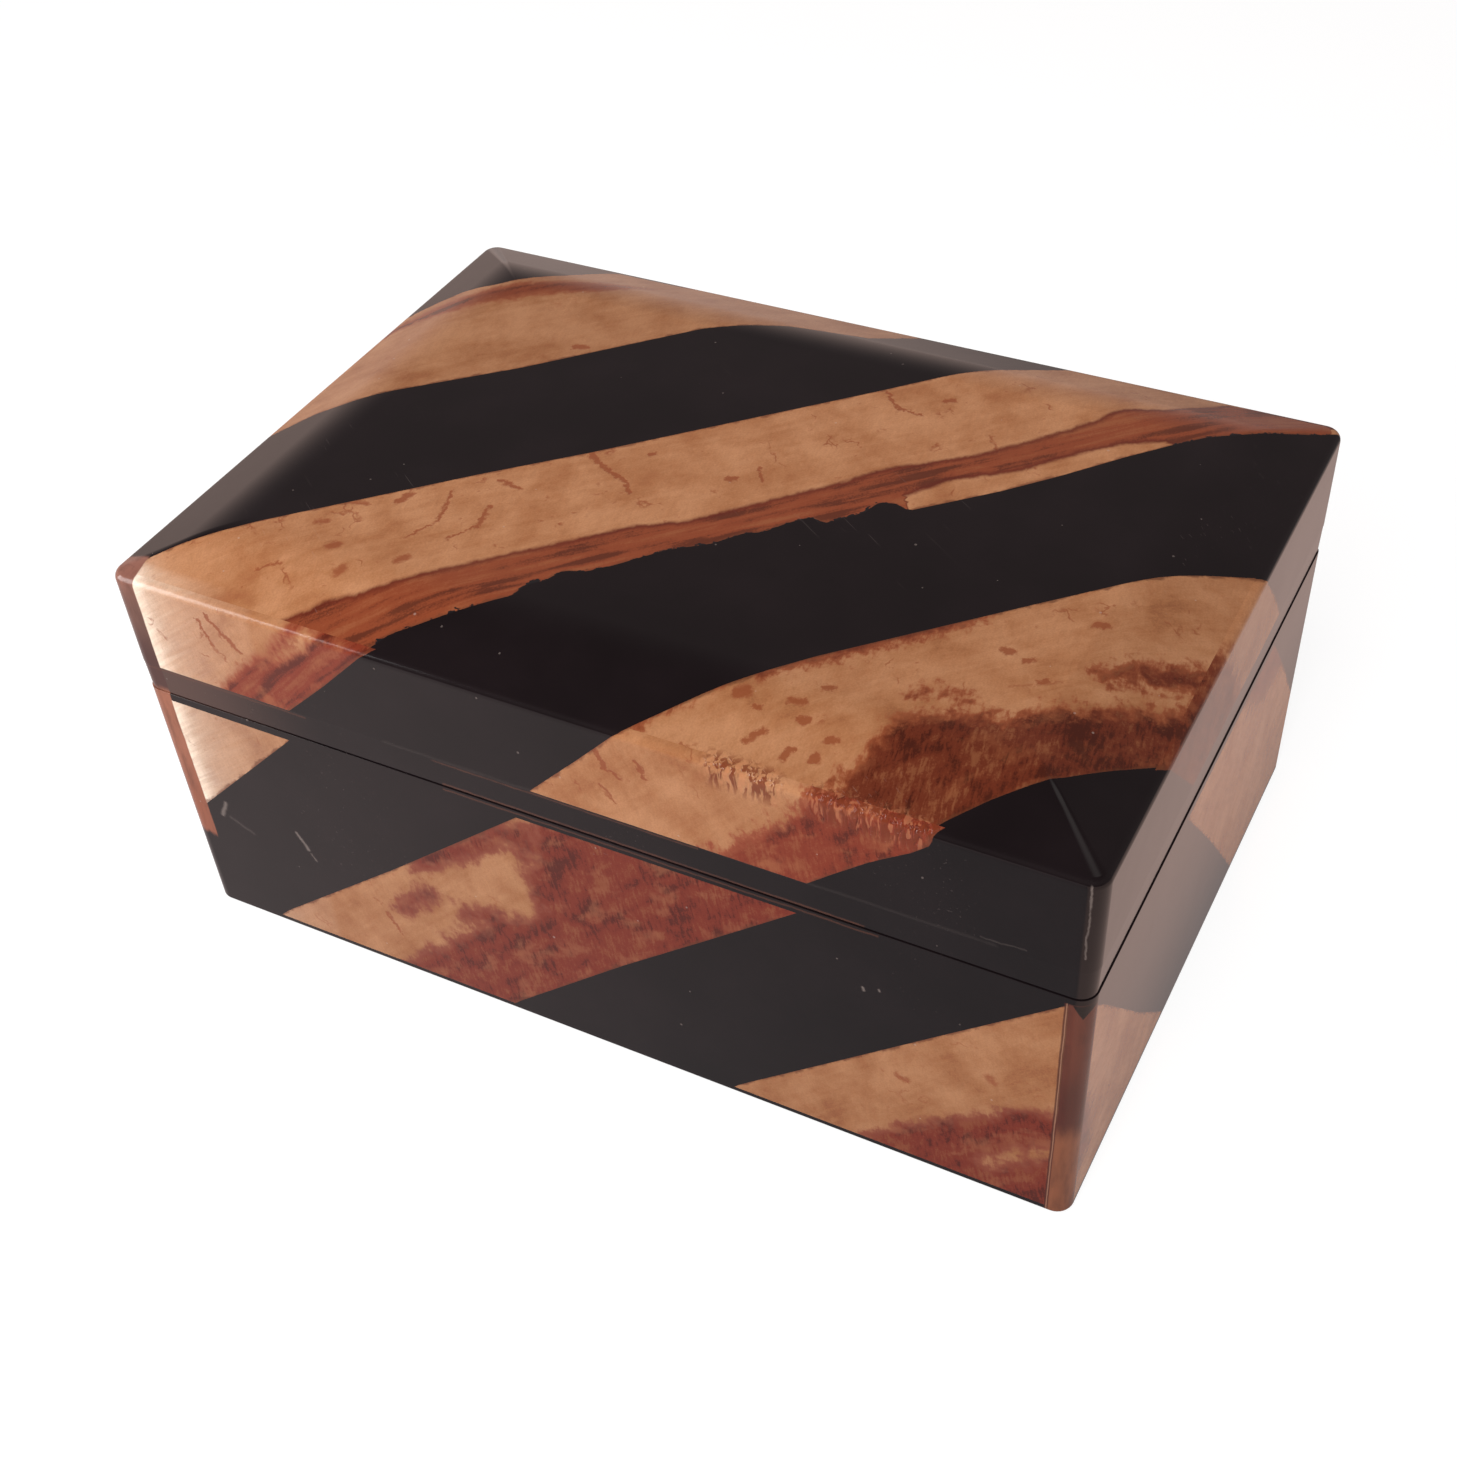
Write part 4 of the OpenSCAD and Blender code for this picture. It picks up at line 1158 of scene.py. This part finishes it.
def rounded(start, stop, steps, radius, inset, z):
    """Profile of an edge rounded to a radius round a middle: inset, height and tilt at even angles."""
    angles = [start + (stop - start) * k / steps for k in range(steps + 1)]
    return [(inset - radius * math.sin(a), z + radius * math.cos(a), a) for a in angles]


def upright_skin(sizes, strips, back, profile, height_of, edge_z):
    """A skin whose rings stand one under another, with its twin points at the skin's depth."""
    skin = Skin(strips)
    plan = Plan(sizes, back.keys)
    thick = sizes.skin / MM
    rings = []
    for inset, z, tilt, _ in profile:
        z_of = height_of(z)

        def twin_of(column):
            (x, y), _ = plan.place(column, thick, plan.corner - thick)
            return x, y, z_of(x, y)

        rings.append(plan.ring(skin, (inset, z_of, tilt, plan.corner - inset), twin_of, edge_z))
    plan.weave(skin, rings, lambda i: (None, profile[i][3]))
    return skin


def lid_skin(sizes):
    """The lid's skin: flat middle, soft crease, sloping border, rounded edge and sides."""
    skin = Skin(LID_STRIPS)
    plan = Plan(sizes)
    top, rise, border = sizes.top / MM, sizes.rise / MM, sizes.border / MM
    edge, crease, thick = sizes.edge / MM, sizes.crease / MM, sizes.skin / MM
    slope = math.atan(rise / border)
    crease_in = border + crease * math.tan(slope / 2)
    arc_z = top - (edge + (border - edge) * math.sin(slope)) / math.cos(slope)
    low = sizes.band_top / MM + LID_FOOT
    upright = math.pi / 2

    profile = rounded(0, slope, 10, crease, crease_in, top - crease)
    inner, outer = profile[-1], (edge - edge * math.sin(slope), arc_z + edge * math.cos(slope))
    for k in range(1, 7):
        inset = inner[0] + (edge - inner[0]) * k / 6
        profile.append((inset, outer[1] + (inset - outer[0]) * math.tan(slope), slope))
    split = len(profile) - 1
    profile += rounded(slope, upright, 8, edge, edge, arc_z)
    profile += [(0, arc_z + (low - arc_z) * k / 14, upright) for k in range(1, 15)]
    profile += [(LID_FOOT * (1 - math.cos(a)), low - LID_FOOT * math.sin(a), upright + a)
                for a in (math.radians(30 * k) for k in range(1, 4))]

    rings = []
    for inset, z, tilt in profile:
        # The corners' radius shrinks to a point where the border's creases meet
        radius = max(plan.corner - HIP_SHRINK * inset, HIP_RADIUS * (crease_in - inset) / crease_in, 0)
        side = tilt > upright - TINY
        depth = thick if side else thick * math.sin(tilt)

        def twin_of(column):
            if side:
                return (*plan.place(column, thick, plan.corner - thick)[0], z)
            return (*plan.place(column, inset + depth, max(radius - depth, 0))[0], z - thick * math.cos(tilt))

        rings.append(plan.ring(skin, (inset, lambda x, y: z, tilt, radius), twin_of, top - rise))
    plan.weave(skin, rings, lambda i: ("top" if i < split else None, "strip"))

    half_l, half_w = plan.half[0] - crease_in, plan.half[1] - crease_in
    grid = [[skin.point((u * half_l, v * half_w, top), (0, 0, 1), (u * half_l, v * half_w, top - thick), 0)
             for u in plan.long] for v in plan.short]
    for a, b in zip(grid, grid[1:]):
        for j in range(len(a) - 1):
            skin.add("top", "strip", [a[j], a[j + 1], b[j + 1], b[j]])
    return skin


class BackEdge:
    """The hinges' axis, and the heights that clear the hinges along the back of the seam."""

    def __init__(self, sizes, half):
        low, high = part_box("right_hinge_pin")
        self.axis_y, self.seam = (low[1] + high[1]) / 2 / MM, (low[2] + high[2]) / 2 / MM
        self.ends = (low[0] / MM - 0.1, high[0] / MM + 0.1)
        self.half = half
        straight = sizes.length / MM / 2 - sizes.corner / MM
        self.keys = [v / straight for end in self.ends for v in (end - 0.03, end + 0.03)]

    def clear(self, x, y, edge):
        """The height nearest the seam that a skin may reach here, edge being its height elsewhere."""
        room = max(0, y - self.axis_y) * math.tan(math.radians(CHAMFER))
        if self.ends[0] < abs(x) < self.ends[1] and abs(y - self.axis_y) < KNUCKLE_ROOM:
            room = max(room, math.sqrt(KNUCKLE_ROOM ** 2 - (y - self.axis_y) ** 2))
        return min(edge, self.seam - room) if self.half < 0 else max(edge, self.seam + room)


def base_skin(sizes):
    """The base's skin, with its back edge cut down for the hinges."""
    back = BackEdge(sizes, -1)
    top, foot = sizes.skin_top / MM + BASE_TOP_LIFT, sizes.skin_foot / MM
    high, low = BASE_STRIP_TOP, BASE_STRIP_FOOT
    upright = math.pi / 2
    turns = [math.radians(18 * k) for k in range(6)]
    profile = [(SEAM_ROUND * (1 - math.sin(a)), top - SEAM_ROUND + SEAM_ROUND * math.cos(a), a, "plain")
               for a in turns]
    profile += [(0, high + (low - high) * k / 36, upright, "strip") for k in range(36)]
    profile.append((0, low, upright, "plain"))
    profile += [(FOOT_ROUND * (1 - math.cos(a)), foot + FOOT_ROUND - FOOT_ROUND * math.sin(a), upright + a,
                 "plain") for a in turns]

    def lowered(z):
        """Heights above the fixed ones shrink to what the hinges leave."""
        if z < FIXED:
            return lambda x, y: z
        return lambda x, y: FIXED + (z - FIXED) * (back.clear(x, y, top) - FIXED) / (top - FIXED)

    return upright_skin(sizes, BASE_STRIPS, back, profile, lowered, (sizes.top - sizes.rise) / MM)


def band_skin(sizes):
    """The plain band on the lid's lower edge, set back a little and leaning in towards the seam."""
    back = BackEdge(sizes, 1)
    top, foot = sizes.band_top / MM, back.seam + BAND_GAP
    upright = math.pi / 2
    tilt = upright + BAND_TILT
    profile = [(BAND_INSET + BAND_LEAN * k / 6, top + (foot + SEAM_ROUND - top) * k / 6, tilt, "plain")
               for k in range(7)]
    profile += [(BAND_INSET + BAND_LEAN + SEAM_ROUND * (1 - math.cos(a)),
                 foot + SEAM_ROUND - SEAM_ROUND * math.sin(a), upright + a, "plain")
                for a in (math.radians(18 * k) for k in range(1, 6))]

    def raised(z):
        return lambda x, y: top + (z - top) * (back.clear(x, y, foot) - top) / (foot - top)

    strips = {side: [] for side in FOLDS}
    return upright_skin(sizes, strips, back, profile, raised, (sizes.top - sizes.rise) / MM)


# Copies of CAD solids with eased edges

# Lengths in metres: how near two points are one, the radius of a screw's head, and its point
MERGED = 1e-6
SCREW_RADIUS = 1.15 * MM
POINT_LENGTH = 1.2 * MM
# In degrees: faces nearer to level than this are joined, edges past this are rounded, normals
# nearer than this are averaged, and a screw's edges past this stay sharp
FLAT_ANGLE, ROUND_ANGLE, SOFT_ANGLE, SCREW_ANGLE = 1, 30, 38, 35
# A screw with fewer faces than this has failed
LEAST_FACES = 40


def weigh_normals(mesh, limit):
    """Lets the largest faces round a corner set its normal, so that flat faces stay flat."""
    least = math.cos(math.radians(limit))
    around = {}
    for face in mesh.polygons:
        for v in face.vertices:
            around.setdefault(v, []).append(face)
    normals = []
    for face in mesh.polygons:
        for v in face.vertices:
            near = [other for other in around[v] if other.normal.dot(face.normal) > least]
            total = sum((other.normal * other.area for other in near), Vector())
            normals.append(tuple(total.normalized() if total.length > 0 else face.normal))
    mesh.normals_split_custom_set(normals)


def eased(node, body, material, width, segments=2):
    """Puts a copy of a CAD node with merged faces and small rounded edges in its place."""
    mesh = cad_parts[node].data.copy()
    mesh.name = node + "_eased"
    work = bmesh.new()
    work.from_mesh(mesh)
    bmesh.ops.remove_doubles(work, verts=work.verts, dist=MERGED)
    bmesh.ops.dissolve_limit(work, angle_limit=math.radians(FLAT_ANGLE), verts=work.verts, edges=work.edges)
    bmesh.ops.recalc_face_normals(work, faces=work.faces)
    least = math.radians(ROUND_ANGLE)
    sharp = [e for e in work.edges if len(e.link_faces) == 2 and e.calc_face_angle(0) > least]
    bmesh.ops.bevel(work, geom=sharp, offset=width * MM, offset_type="OFFSET", segments=segments, profile=0.5,
                    affect="EDGES", clamp_overlap=True)
    bmesh.ops.recalc_face_normals(work, faces=work.faces)
    work.to_mesh(mesh)
    work.free()
    mesh.materials.clear()
    mesh.materials.append(material)
    for polygon in mesh.polygons:
        polygon.use_smooth = True
        polygon.material_index = 0
    weigh_normals(mesh, SOFT_ANGLE)
    stand_for(linked(mesh.name, mesh), body, node)


# Screws


def screw_tree(material):
    """Geometry Nodes tree of slotted screws on the hinges' leaves, on one side of the seam."""
    tree = bpy.data.node_groups.new("Slotted screws", "GeometryNodeTree")
    inputs = {
        "Head radius": SCREW_RADIUS, "Head height": 0.5 * MM, "Shank radius": 0.55 * MM, "Length": 6 * MM,
        "Slot": 0.35 * MM, "Hinge place": 39 * MM, "Screw place": 7 * MM, "Depth place": 46 * MM,
        "Head level": 46.75 * MM, "Way": -1.0}
    for label, default in inputs.items():
        socket = tree.interface.new_socket(label, in_out="INPUT", socket_type="NodeSocketFloat")
        socket.default_value = default
    tree.interface.new_socket("Seed", in_out="INPUT", socket_type="NodeSocketInt").default_value = 4
    tree.interface.new_socket("Geometry", in_out="OUTPUT", socket_type="NodeSocketGeometry")
    n = Nodes(tree)
    given = n.node("NodeGroupInput").outputs
    head, shank = given["Head radius"], given["Shank radius"]
    height, length = given["Head height"], given["Length"]

    def cone(low, high, depth, lift, vertices=24):
        made = n.fed("GeometryNodeMeshCone", {
            "Vertices": vertices, "Radius Top": high, "Radius Bottom": low, "Depth": depth})
        move = {"Geometry": made.outputs["Mesh"], "Translation": n.joined(z=lift)}
        return n.fed("GeometryNodeTransform", move).outputs[0]

    # One screw, pointing down: a domed head, a shank that reaches up into it and a point
    dome = n.times(height, 0.3)
    shank_length = n.minus(length, POINT_LENGTH)
    body = n.node("GeometryNodeMeshBoolean", operation="UNION", solver="EXACT")
    for part in (cone(head, head, n.times(height, 0.7), n.times(height, -1.0)),
                 cone(head, n.times(head, 0.86), dome, n.times(dome, -1.0)),
                 cone(shank, shank, n.plus(shank_length, -0.4 * MM), n.times(shank_length, -1.0), 12),
                 cone(0.1 * MM, shank, POINT_LENGTH, n.times(length, -1.0), 12)):
        n.put(body.inputs["Mesh 2"], part)
    size = n.joined(n.times(head, 2.4), given["Slot"], height)
    cutter = n.fed("GeometryNodeMeshCube", {"Size": size}).outputs["Mesh"]
    slotted = n.fed("GeometryNodeMeshBoolean", {"Mesh 1": body.outputs["Mesh"], "Mesh 2": cutter},
                    operation="DIFFERENCE", solver="EXACT").outputs["Mesh"]

    # Two screws to each of two hinges, each turned at random
    places = n.node("GeometryNodeJoinGeometry")
    for s in (-1, 1):
        for t in (-1, 1):
            x = n.plus(n.times(given["Hinge place"], s), n.times(given["Screw place"], t))
            where = n.joined(x, given["Depth place"], given["Head level"])
            dot = n.fed("GeometryNodePoints", {"Count": 1, "Position": where})
            n.put(places.inputs[0], dot.outputs[0])
    turn = n.fed("FunctionNodeRandomValue", {3: math.pi, "Seed": given["Seed"]}, data_type="FLOAT").outputs[1]
    screws = n.fed("GeometryNodeInstanceOnPoints", {
        "Points": places.outputs[0], "Instance": slotted, "Rotation": n.joined(z=turn),
        "Scale": n.joined(1.0, 1.0, given["Way"])})
    real = n.fed("GeometryNodeRealizeInstances", {0: screws.outputs[0]})
    painted = n.fed("GeometryNodeSetMaterial", {"Geometry": real.outputs[0], "Material": material})
    n.put(n.node("NodeGroupOutput").inputs[0], painted.outputs[0])
    return tree


def plain_mesh(name, tree, values):
    """Runs a Geometry Nodes tree on an empty mesh and returns its result as a plain object."""
    holder = linked(name, bpy.data.meshes.new(name))
    modifier = holder.modifiers.new("Screws", "NODES")
    modifier.node_group = tree
    sockets = {item.name: item.identifier for item in tree.interface.items_tree if item.in_out == "INPUT"}
    for label, value in values.items():
        modifier[sockets[label]] = value
    graph = bpy.context.evaluated_depsgraph_get()
    graph.update()
    mesh = bpy.data.meshes.new_from_object(holder.evaluated_get(graph))
    holder.modifiers.clear()
    holder.data = mesh
    work = bmesh.new()
    work.from_mesh(mesh)
    bmesh.ops.remove_doubles(work, verts=work.verts, dist=MERGED)
    bmesh.ops.recalc_face_normals(work, faces=work.faces)
    work.to_mesh(mesh)
    work.free()
    mesh.name = name
    return holder


# Stage

# The floor's colour to the camera, in the gloss and to other light, its glow to the camera, and the
# share of the fill lamp that the gloss shows
FLOOR_SEEN = (0.3, 0.3, 0.3, 1)
FLOOR_MIRRORED = (0.16, 0.16, 0.16, 1)
FLOOR_LIT = (0.56, 0.53, 0.52, 1)
FLOOR_GLOW = (0.78, 0.78, 0.78, 1)
SHINE = 0.28


def lamp(name, place, aim, size, power):
    """A square area lamp at a place, turned to face a point."""
    data = bpy.data.lights.new(name, "AREA")
    data.size = size
    data.energy = power
    made = linked(name, data)
    made.location = place
    made.rotation_euler = (Vector(aim) - Vector(place)).to_track_quat("-Z", "Y").to_euler()
    return made


def pale_floor(stage):
    """The floor's material: white to the camera, with the box's shadow, and darker in the gloss."""
    material = bpy.data.materials.new("pale_floor")
    material.use_nodes = True
    material.node_tree.nodes.clear()
    n = Nodes(material.node_tree)
    path = n.node("ShaderNodeLightPath").outputs
    mirrored = n.math("MAXIMUM", path["Is Glossy Ray"], path["Is Transmission Ray"])
    seen = n.math("MAXIMUM", path["Is Camera Ray"], mirrored)
    pale = n.mix(path["Is Camera Ray"], FLOOR_MIRRORED, FLOOR_SEEN)
    lit = n.fed("ShaderNodeBsdfDiffuse", {"Color": n.mix(seen, FLOOR_LIT, pale)})

    x, y, _ = n.parts(n.node("ShaderNodeTexCoord").outputs["Object"])
    near = n.mix(n.step(x, -0.09, 0.06), (0.46, 0.37, 0.36, 1), (0.17, 0.155, 0.16, 1))
    near = n.mix(n.step(x, 0.07, 0.085), near, tinted(stage.table))
    far = n.mix(n.step(x, -0.1, -0.5), tinted(stage.sky, 0.5), tinted(stage.window))
    shown = n.mix(n.step(y, 0.12, 0.3), near, far)
    shown = n.mix(path["Is Camera Ray"], shown, FLOOR_GLOW)
    glow = n.fed("ShaderNodeEmission", {"Color": shown, "Strength": seen})
    both = n.fed("ShaderNodeAddShader", {0: lit.outputs[0], 1: glow.outputs[0]})
    n.put(n.node("ShaderNodeOutputMaterial").inputs[0], both.outputs[0])
    return material


def room(stage):
    """The world: white to the camera; to the gloss, a dim room with a lighter side and a lamp."""
    world = bpy.data.worlds.new("room")
    world.use_nodes = True
    n = Nodes(world.node_tree)
    way = n.node("ShaderNodeTexCoord").outputs["Generated"]
    x, y, z = n.parts(way)
    left = n.step(n.line(x, -0.9, n.times(y, 0.45)), 0.35, 0.9)
    window = n.times(left, n.step(z, 0.5, 0.02))
    over = n.mix(n.step(z, 0.6, 0.88), tinted(stage.sky), tinted(stage.sky, 0.5))
    low_front = n.times(n.step(z, 0.34, 0.12), n.step(y, 0.1, -0.4))
    over = n.mix(n.times(low_front, 0.6), over, (0.03, 0.026, 0.026, 1))
    to_lamp = n.vector("DOT_PRODUCT", way, Vector((0.08, 0.33, 0.94)).normalized())
    over = n.mix(n.step(to_lamp, 0.975, 0.998), over, (0.8, 0.75, 0.72, 1))
    seen = n.node("ShaderNodeLightPath").outputs["Is Camera Ray"]
    background = world.node_tree.nodes["Background"]
    n.put(background.inputs["Color"], n.mix(seen, n.mix(window, over, tinted(stage.window)), (1, 1, 1, 1)))
    background.inputs["Strength"].default_value = 1.0
    return world


# Operators

# How each strip's horn differs: where its figure is cut from, tints, and amounts of each feature
HORNS = {
    "lid_rear_strip": dict(
        shift=(0.31, 0.07, 0), horn=0.98, stain=(1.2, 1.5, 1.3), specks=0.3, gaps=0.2, ragged=0.4,
        streaks=0.7, soft=0.9),
    "lid_middle_strip": dict(
        shift=(0.0, 0.0, 0), horn=1.14, stain=(1.5, 2.0, 1.8), edge=(0.42, 0.24, 0.32), specks=0.9, gaps=0.1,
        ragged=0.16, streaks=1.0, soft=0.5, bite=1.0),
    "lid_front_strip": dict(
        shift=(0.13, 0.21, 0), horn=1.05, stain=(0.76, 0.86, 0.83), edge=(1.1, 1.1, 1.1), specks=0.8,
        gaps=0.3, soft=1.0),
    "lid_front_veneer": dict(
        shift=(0.05, 0.33, 0), horn=1.08, stain=(1.28, 1.18, 1.2), edge=(1.15, 1.1, 1.3), specks=0.7,
        gaps=0.6, ragged=0.9, streaks=0.3, soft=0.9),
    "lid_right_veneer": dict(
        shift=(0.13, 0.21, 0), horn=1.15, stain=(0.9, 1.05, 0.95), specks=0.3, gaps=0.4, soft=1.4),
    "lid_back_veneer": dict(shift=(0.41, 0.11, 0), specks=0.5, gaps=0.4, ragged=0.5, streaks=0.6),
    "lid_left_veneer": dict(shift=(0.23, 0.02, 0), specks=0.5, gaps=0.4, ragged=0.5, streaks=0.6),
    "base_front_veneer": dict(
        shift=(0.17, 0.0, 0), horn=0.97, stain=(1.05, 0.87, 1.0), edge=(0.9, 0.9, 1.3), specks=0.5, gaps=0.6,
        ragged=0.6, streaks=0.2, soft=0.9),
    "base_right_veneer": dict(
        shift=(0.29, 0.4, 0), horn=1.5, stain=(1.9, 3.2, 4.0), edge=(1.3, 1.9, 2.6), specks=0.3, gaps=0.4,
        soft=1.8),
    "base_back_veneer": dict(shift=(0.37, 0.13, 0), edge=(0.9, 0.95, 1.2), specks=0.5, gaps=0.7),
    "base_left_veneer": dict(shift=(0.02, 0.45, 0), edge=(0.9, 0.95, 1.2), specks=0.5, gaps=0.7),
}
STORE = {}


def finishes():
    """The materials shared by the operators."""
    if "made" not in STORE:
        low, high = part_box("left_hinge_pin")
        STORE["made"] = Finishes(bpy.context.scene.box_colours, (low[2] + high[2]) / 2)
    return STORE["made"]


def dress(skin, body, name_of):
    """Makes the pieces of a skin."""
    made = finishes()
    for name, found in sorted(skin.divide(name_of).items()):
        if name in HORNS:
            shell(name, skin, found, body, made.get("horn", name, node=name, **HORNS[name]))
        else:
            shell(name, skin, found, body, made.get("black_lacquer"))


class MakeLidSkin(bpy.types.Operator):
    """Make the lid's lacquer and the strips in it"""

    bl_idname = "keepsake.lid_skin"
    bl_label = "Lid Skin"

    def execute(self, context):
        def name_of(side, strip):
            if strip is None:
                return "lid_lacquer"
            return TOP_NODES[strip] if side == "top" else "lid_" + side + "_veneer"

        dress(lid_skin(context.scene.box_sizes), "lid", name_of)
        return {"FINISHED"}


class MakeBaseSkin(bpy.types.Operator):
    """Make the base's lacquer and the strips in it"""

    bl_idname = "keepsake.base_skin"
    bl_label = "Base Skin"

    def execute(self, context):
        def name_of(side, strip):
            return "base_lacquer" if strip is None else "base_" + side + "_veneer"

        dress(base_skin(context.scene.box_sizes), "base", name_of)
        return {"FINISHED"}


class MakeBand(bpy.types.Operator):
    """Make the plain black band on the lid's lower edge"""

    bl_idname = "keepsake.band"
    bl_label = "Band"

    def execute(self, context):
        dress(band_skin(context.scene.box_sizes), "lid", lambda side, strip: "lid_band")
        return {"FINISHED"}


class MakeBoards(bpy.types.Operator):
    """Make the boards of the base and the rails and panel of the lid"""

    bl_idname = "keepsake.boards"
    bl_label = "Boards"

    def execute(self, context):
        made = finishes()
        across = made.get("timber", "x", stretch=(0.06, 1, 1))
        for side in ("front", "back", "left", "right"):
            wood = across if side in ("front", "back") else made.get("timber", "y", stretch=(1, 0.06, 1))
            eased("base_" + side + "_board", "base", wood, 0.1)
            eased("lid_" + side + "_rail", "lid", wood, 0.1)
        eased("base_floor", "base", across, 0.1)
        eased("lid_top_panel", "lid", across, 0.1)
        return {"FINISHED"}


class MakeLining(bpy.types.Operator):
    """Make the velvet lining and the felt foot"""

    bl_idname = "keepsake.lining"
    bl_label = "Lining"

    def execute(self, context):
        made = finishes()
        for body, part in (("base", "floor"), ("base", "wall"), ("lid", "top"), ("lid", "wall")):
            eased(body + "_" + part + "_lining", body, made.get("velvet"), 0.3, 3)
        eased("base_felt", "base", made.get("felt"), 0.2)
        return {"FINISHED"}


class MakeHinges(bpy.types.Operator):
    """Make the hinges' leaves, knuckles and pins"""

    bl_idname = "keepsake.hinges"
    bl_label = "Hinges"

    def execute(self, context):
        brass = finishes().get("brass")
        for side in ("left", "right"):
            eased(side + "_hinge_base_leaf", "base", brass, 0.06)
            eased(side + "_hinge_lid_leaf", "lid", brass, 0.06)
            eased(side + "_hinge_pin", "base", brass, 0.1)
        return {"FINISHED"}


class MakeScrews(bpy.types.Operator):
    """Make the slotted screws of the hinges"""

    bl_idname = "keepsake.screws"
    bl_label = "Screws"

    def execute(self, context):
        tree = screw_tree(finishes().get("brass"))
        low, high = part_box("right_hinge_pin")
        hinge = (low[0] + high[0]) / 2
        for body, way, seed in (("base", 1.0, 4), ("lid", -1.0, 9)):
            node = body + "_hinge_screws"
            low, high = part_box(node)
            piece = plain_mesh(node + "_slotted", tree, {
                "Slot": context.scene.box_sizes.screw_slot,
                "Hinge place": hinge,
                "Screw place": high[0] - hinge - SCREW_RADIUS,
                "Depth place": (low[1] + high[1]) / 2,
                "Head level": high[2] if way > 0 else low[2],
                "Length": high[2] - low[2],
                "Way": way,
                "Seed": seed,
            })
            if len(piece.data.polygons) < LEAST_FACES:
                raise RuntimeError("the screws came out empty")
            for polygon in piece.data.polygons:
                polygon.use_smooth = True
            piece.data.set_sharp_from_angle(angle=math.radians(SCREW_ANGLE))
            stand_for(piece, body, node)
        return {"FINISHED"}


class MakeStage(bpy.types.Operator):
    """Make the floor, the room, the lamps and the camera"""

    bl_idname = "keepsake.stage"
    bl_label = "Stage"

    def execute(self, context):
        scene, stage = context.scene, context.scene.box_stage
        mesh = bpy.data.meshes.new("floor")
        work = bmesh.new()
        bmesh.ops.create_grid(work, x_segments=8, y_segments=8, size=4)
        work.to_mesh(mesh)
        work.free()
        linked("floor", mesh)
        mesh.materials.append(pale_floor(stage))
        scene.world = room(stage)

        lamp("key_lamp", (-0.43, -0.3, 0.2), (-0.03, 0, 0.05), 0.3, stage.key)
        # Two lamps in one place: the gloss shows only the weaker one
        above, middle = (0.35, -1.0, 1.3), (0, 0, 0.04)
        lamp("fill_lamp", above, middle, 1.0, (1 - SHINE) * stage.fill).visible_glossy = False
        lamp("shine_lamp", above, middle, 1.0, SHINE * stage.fill)

        data = bpy.data.cameras.new("camera")
        data.sensor_width = 36
        data.lens = stage.lens
        data.shift_y = stage.shift
        data.clip_start, data.clip_end = 0.01, 50
        camera = linked("camera", data)
        camera.location = stage.place
        camera.rotation_euler = Euler(stage.turn, "XYZ")
        scene.camera = camera
        scene.view_settings.view_transform = "Standard"
        return {"FINISHED"}


OPERATORS = (MakeStage, MakeLidSkin, MakeBaseSkin, MakeBand, MakeBoards, MakeLining, MakeHinges, MakeScrews)


class KeepsakePanel(bpy.types.Panel):
    """Lists the box's pieces and its sizes and colours"""

    bl_idname = "VIEW3D_PT_keepsake_box"
    bl_label = "Keepsake Box"
    bl_space_type = "VIEW_3D"
    bl_region_type = "UI"
    bl_category = "Keepsake Box"

    def draw(self, context):
        for maker in OPERATORS:
            self.layout.operator(maker.bl_idname)
        for settings in (context.scene.box_sizes, context.scene.box_colours, context.scene.box_stage):
            box = self.layout.box()
            for key in settings.bl_rna.properties.keys():
                if key not in ("rna_type", "name"):
                    box.prop(settings, key)


CLASSES = (BoxSizes, BoxColours, BoxStage, *OPERATORS, KeepsakePanel)


def register():
    for each in CLASSES:
        bpy.utils.register_class(each)
    bpy.types.Scene.box_sizes = bpy.props.PointerProperty(type=BoxSizes)
    bpy.types.Scene.box_colours = bpy.props.PointerProperty(type=BoxColours)
    bpy.types.Scene.box_stage = bpy.props.PointerProperty(type=BoxStage)


def unregister():
    del bpy.types.Scene.box_stage
    del bpy.types.Scene.box_colours
    del bpy.types.Scene.box_sizes
    for each in reversed(CLASSES):
        bpy.utils.unregister_class(each)


def main():
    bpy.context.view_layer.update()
    register()
    for maker in OPERATORS:
        family, name = maker.bl_idname.split(".")
        getattr(getattr(bpy.ops, family), name)()


if __name__ == "__main__":
    main()
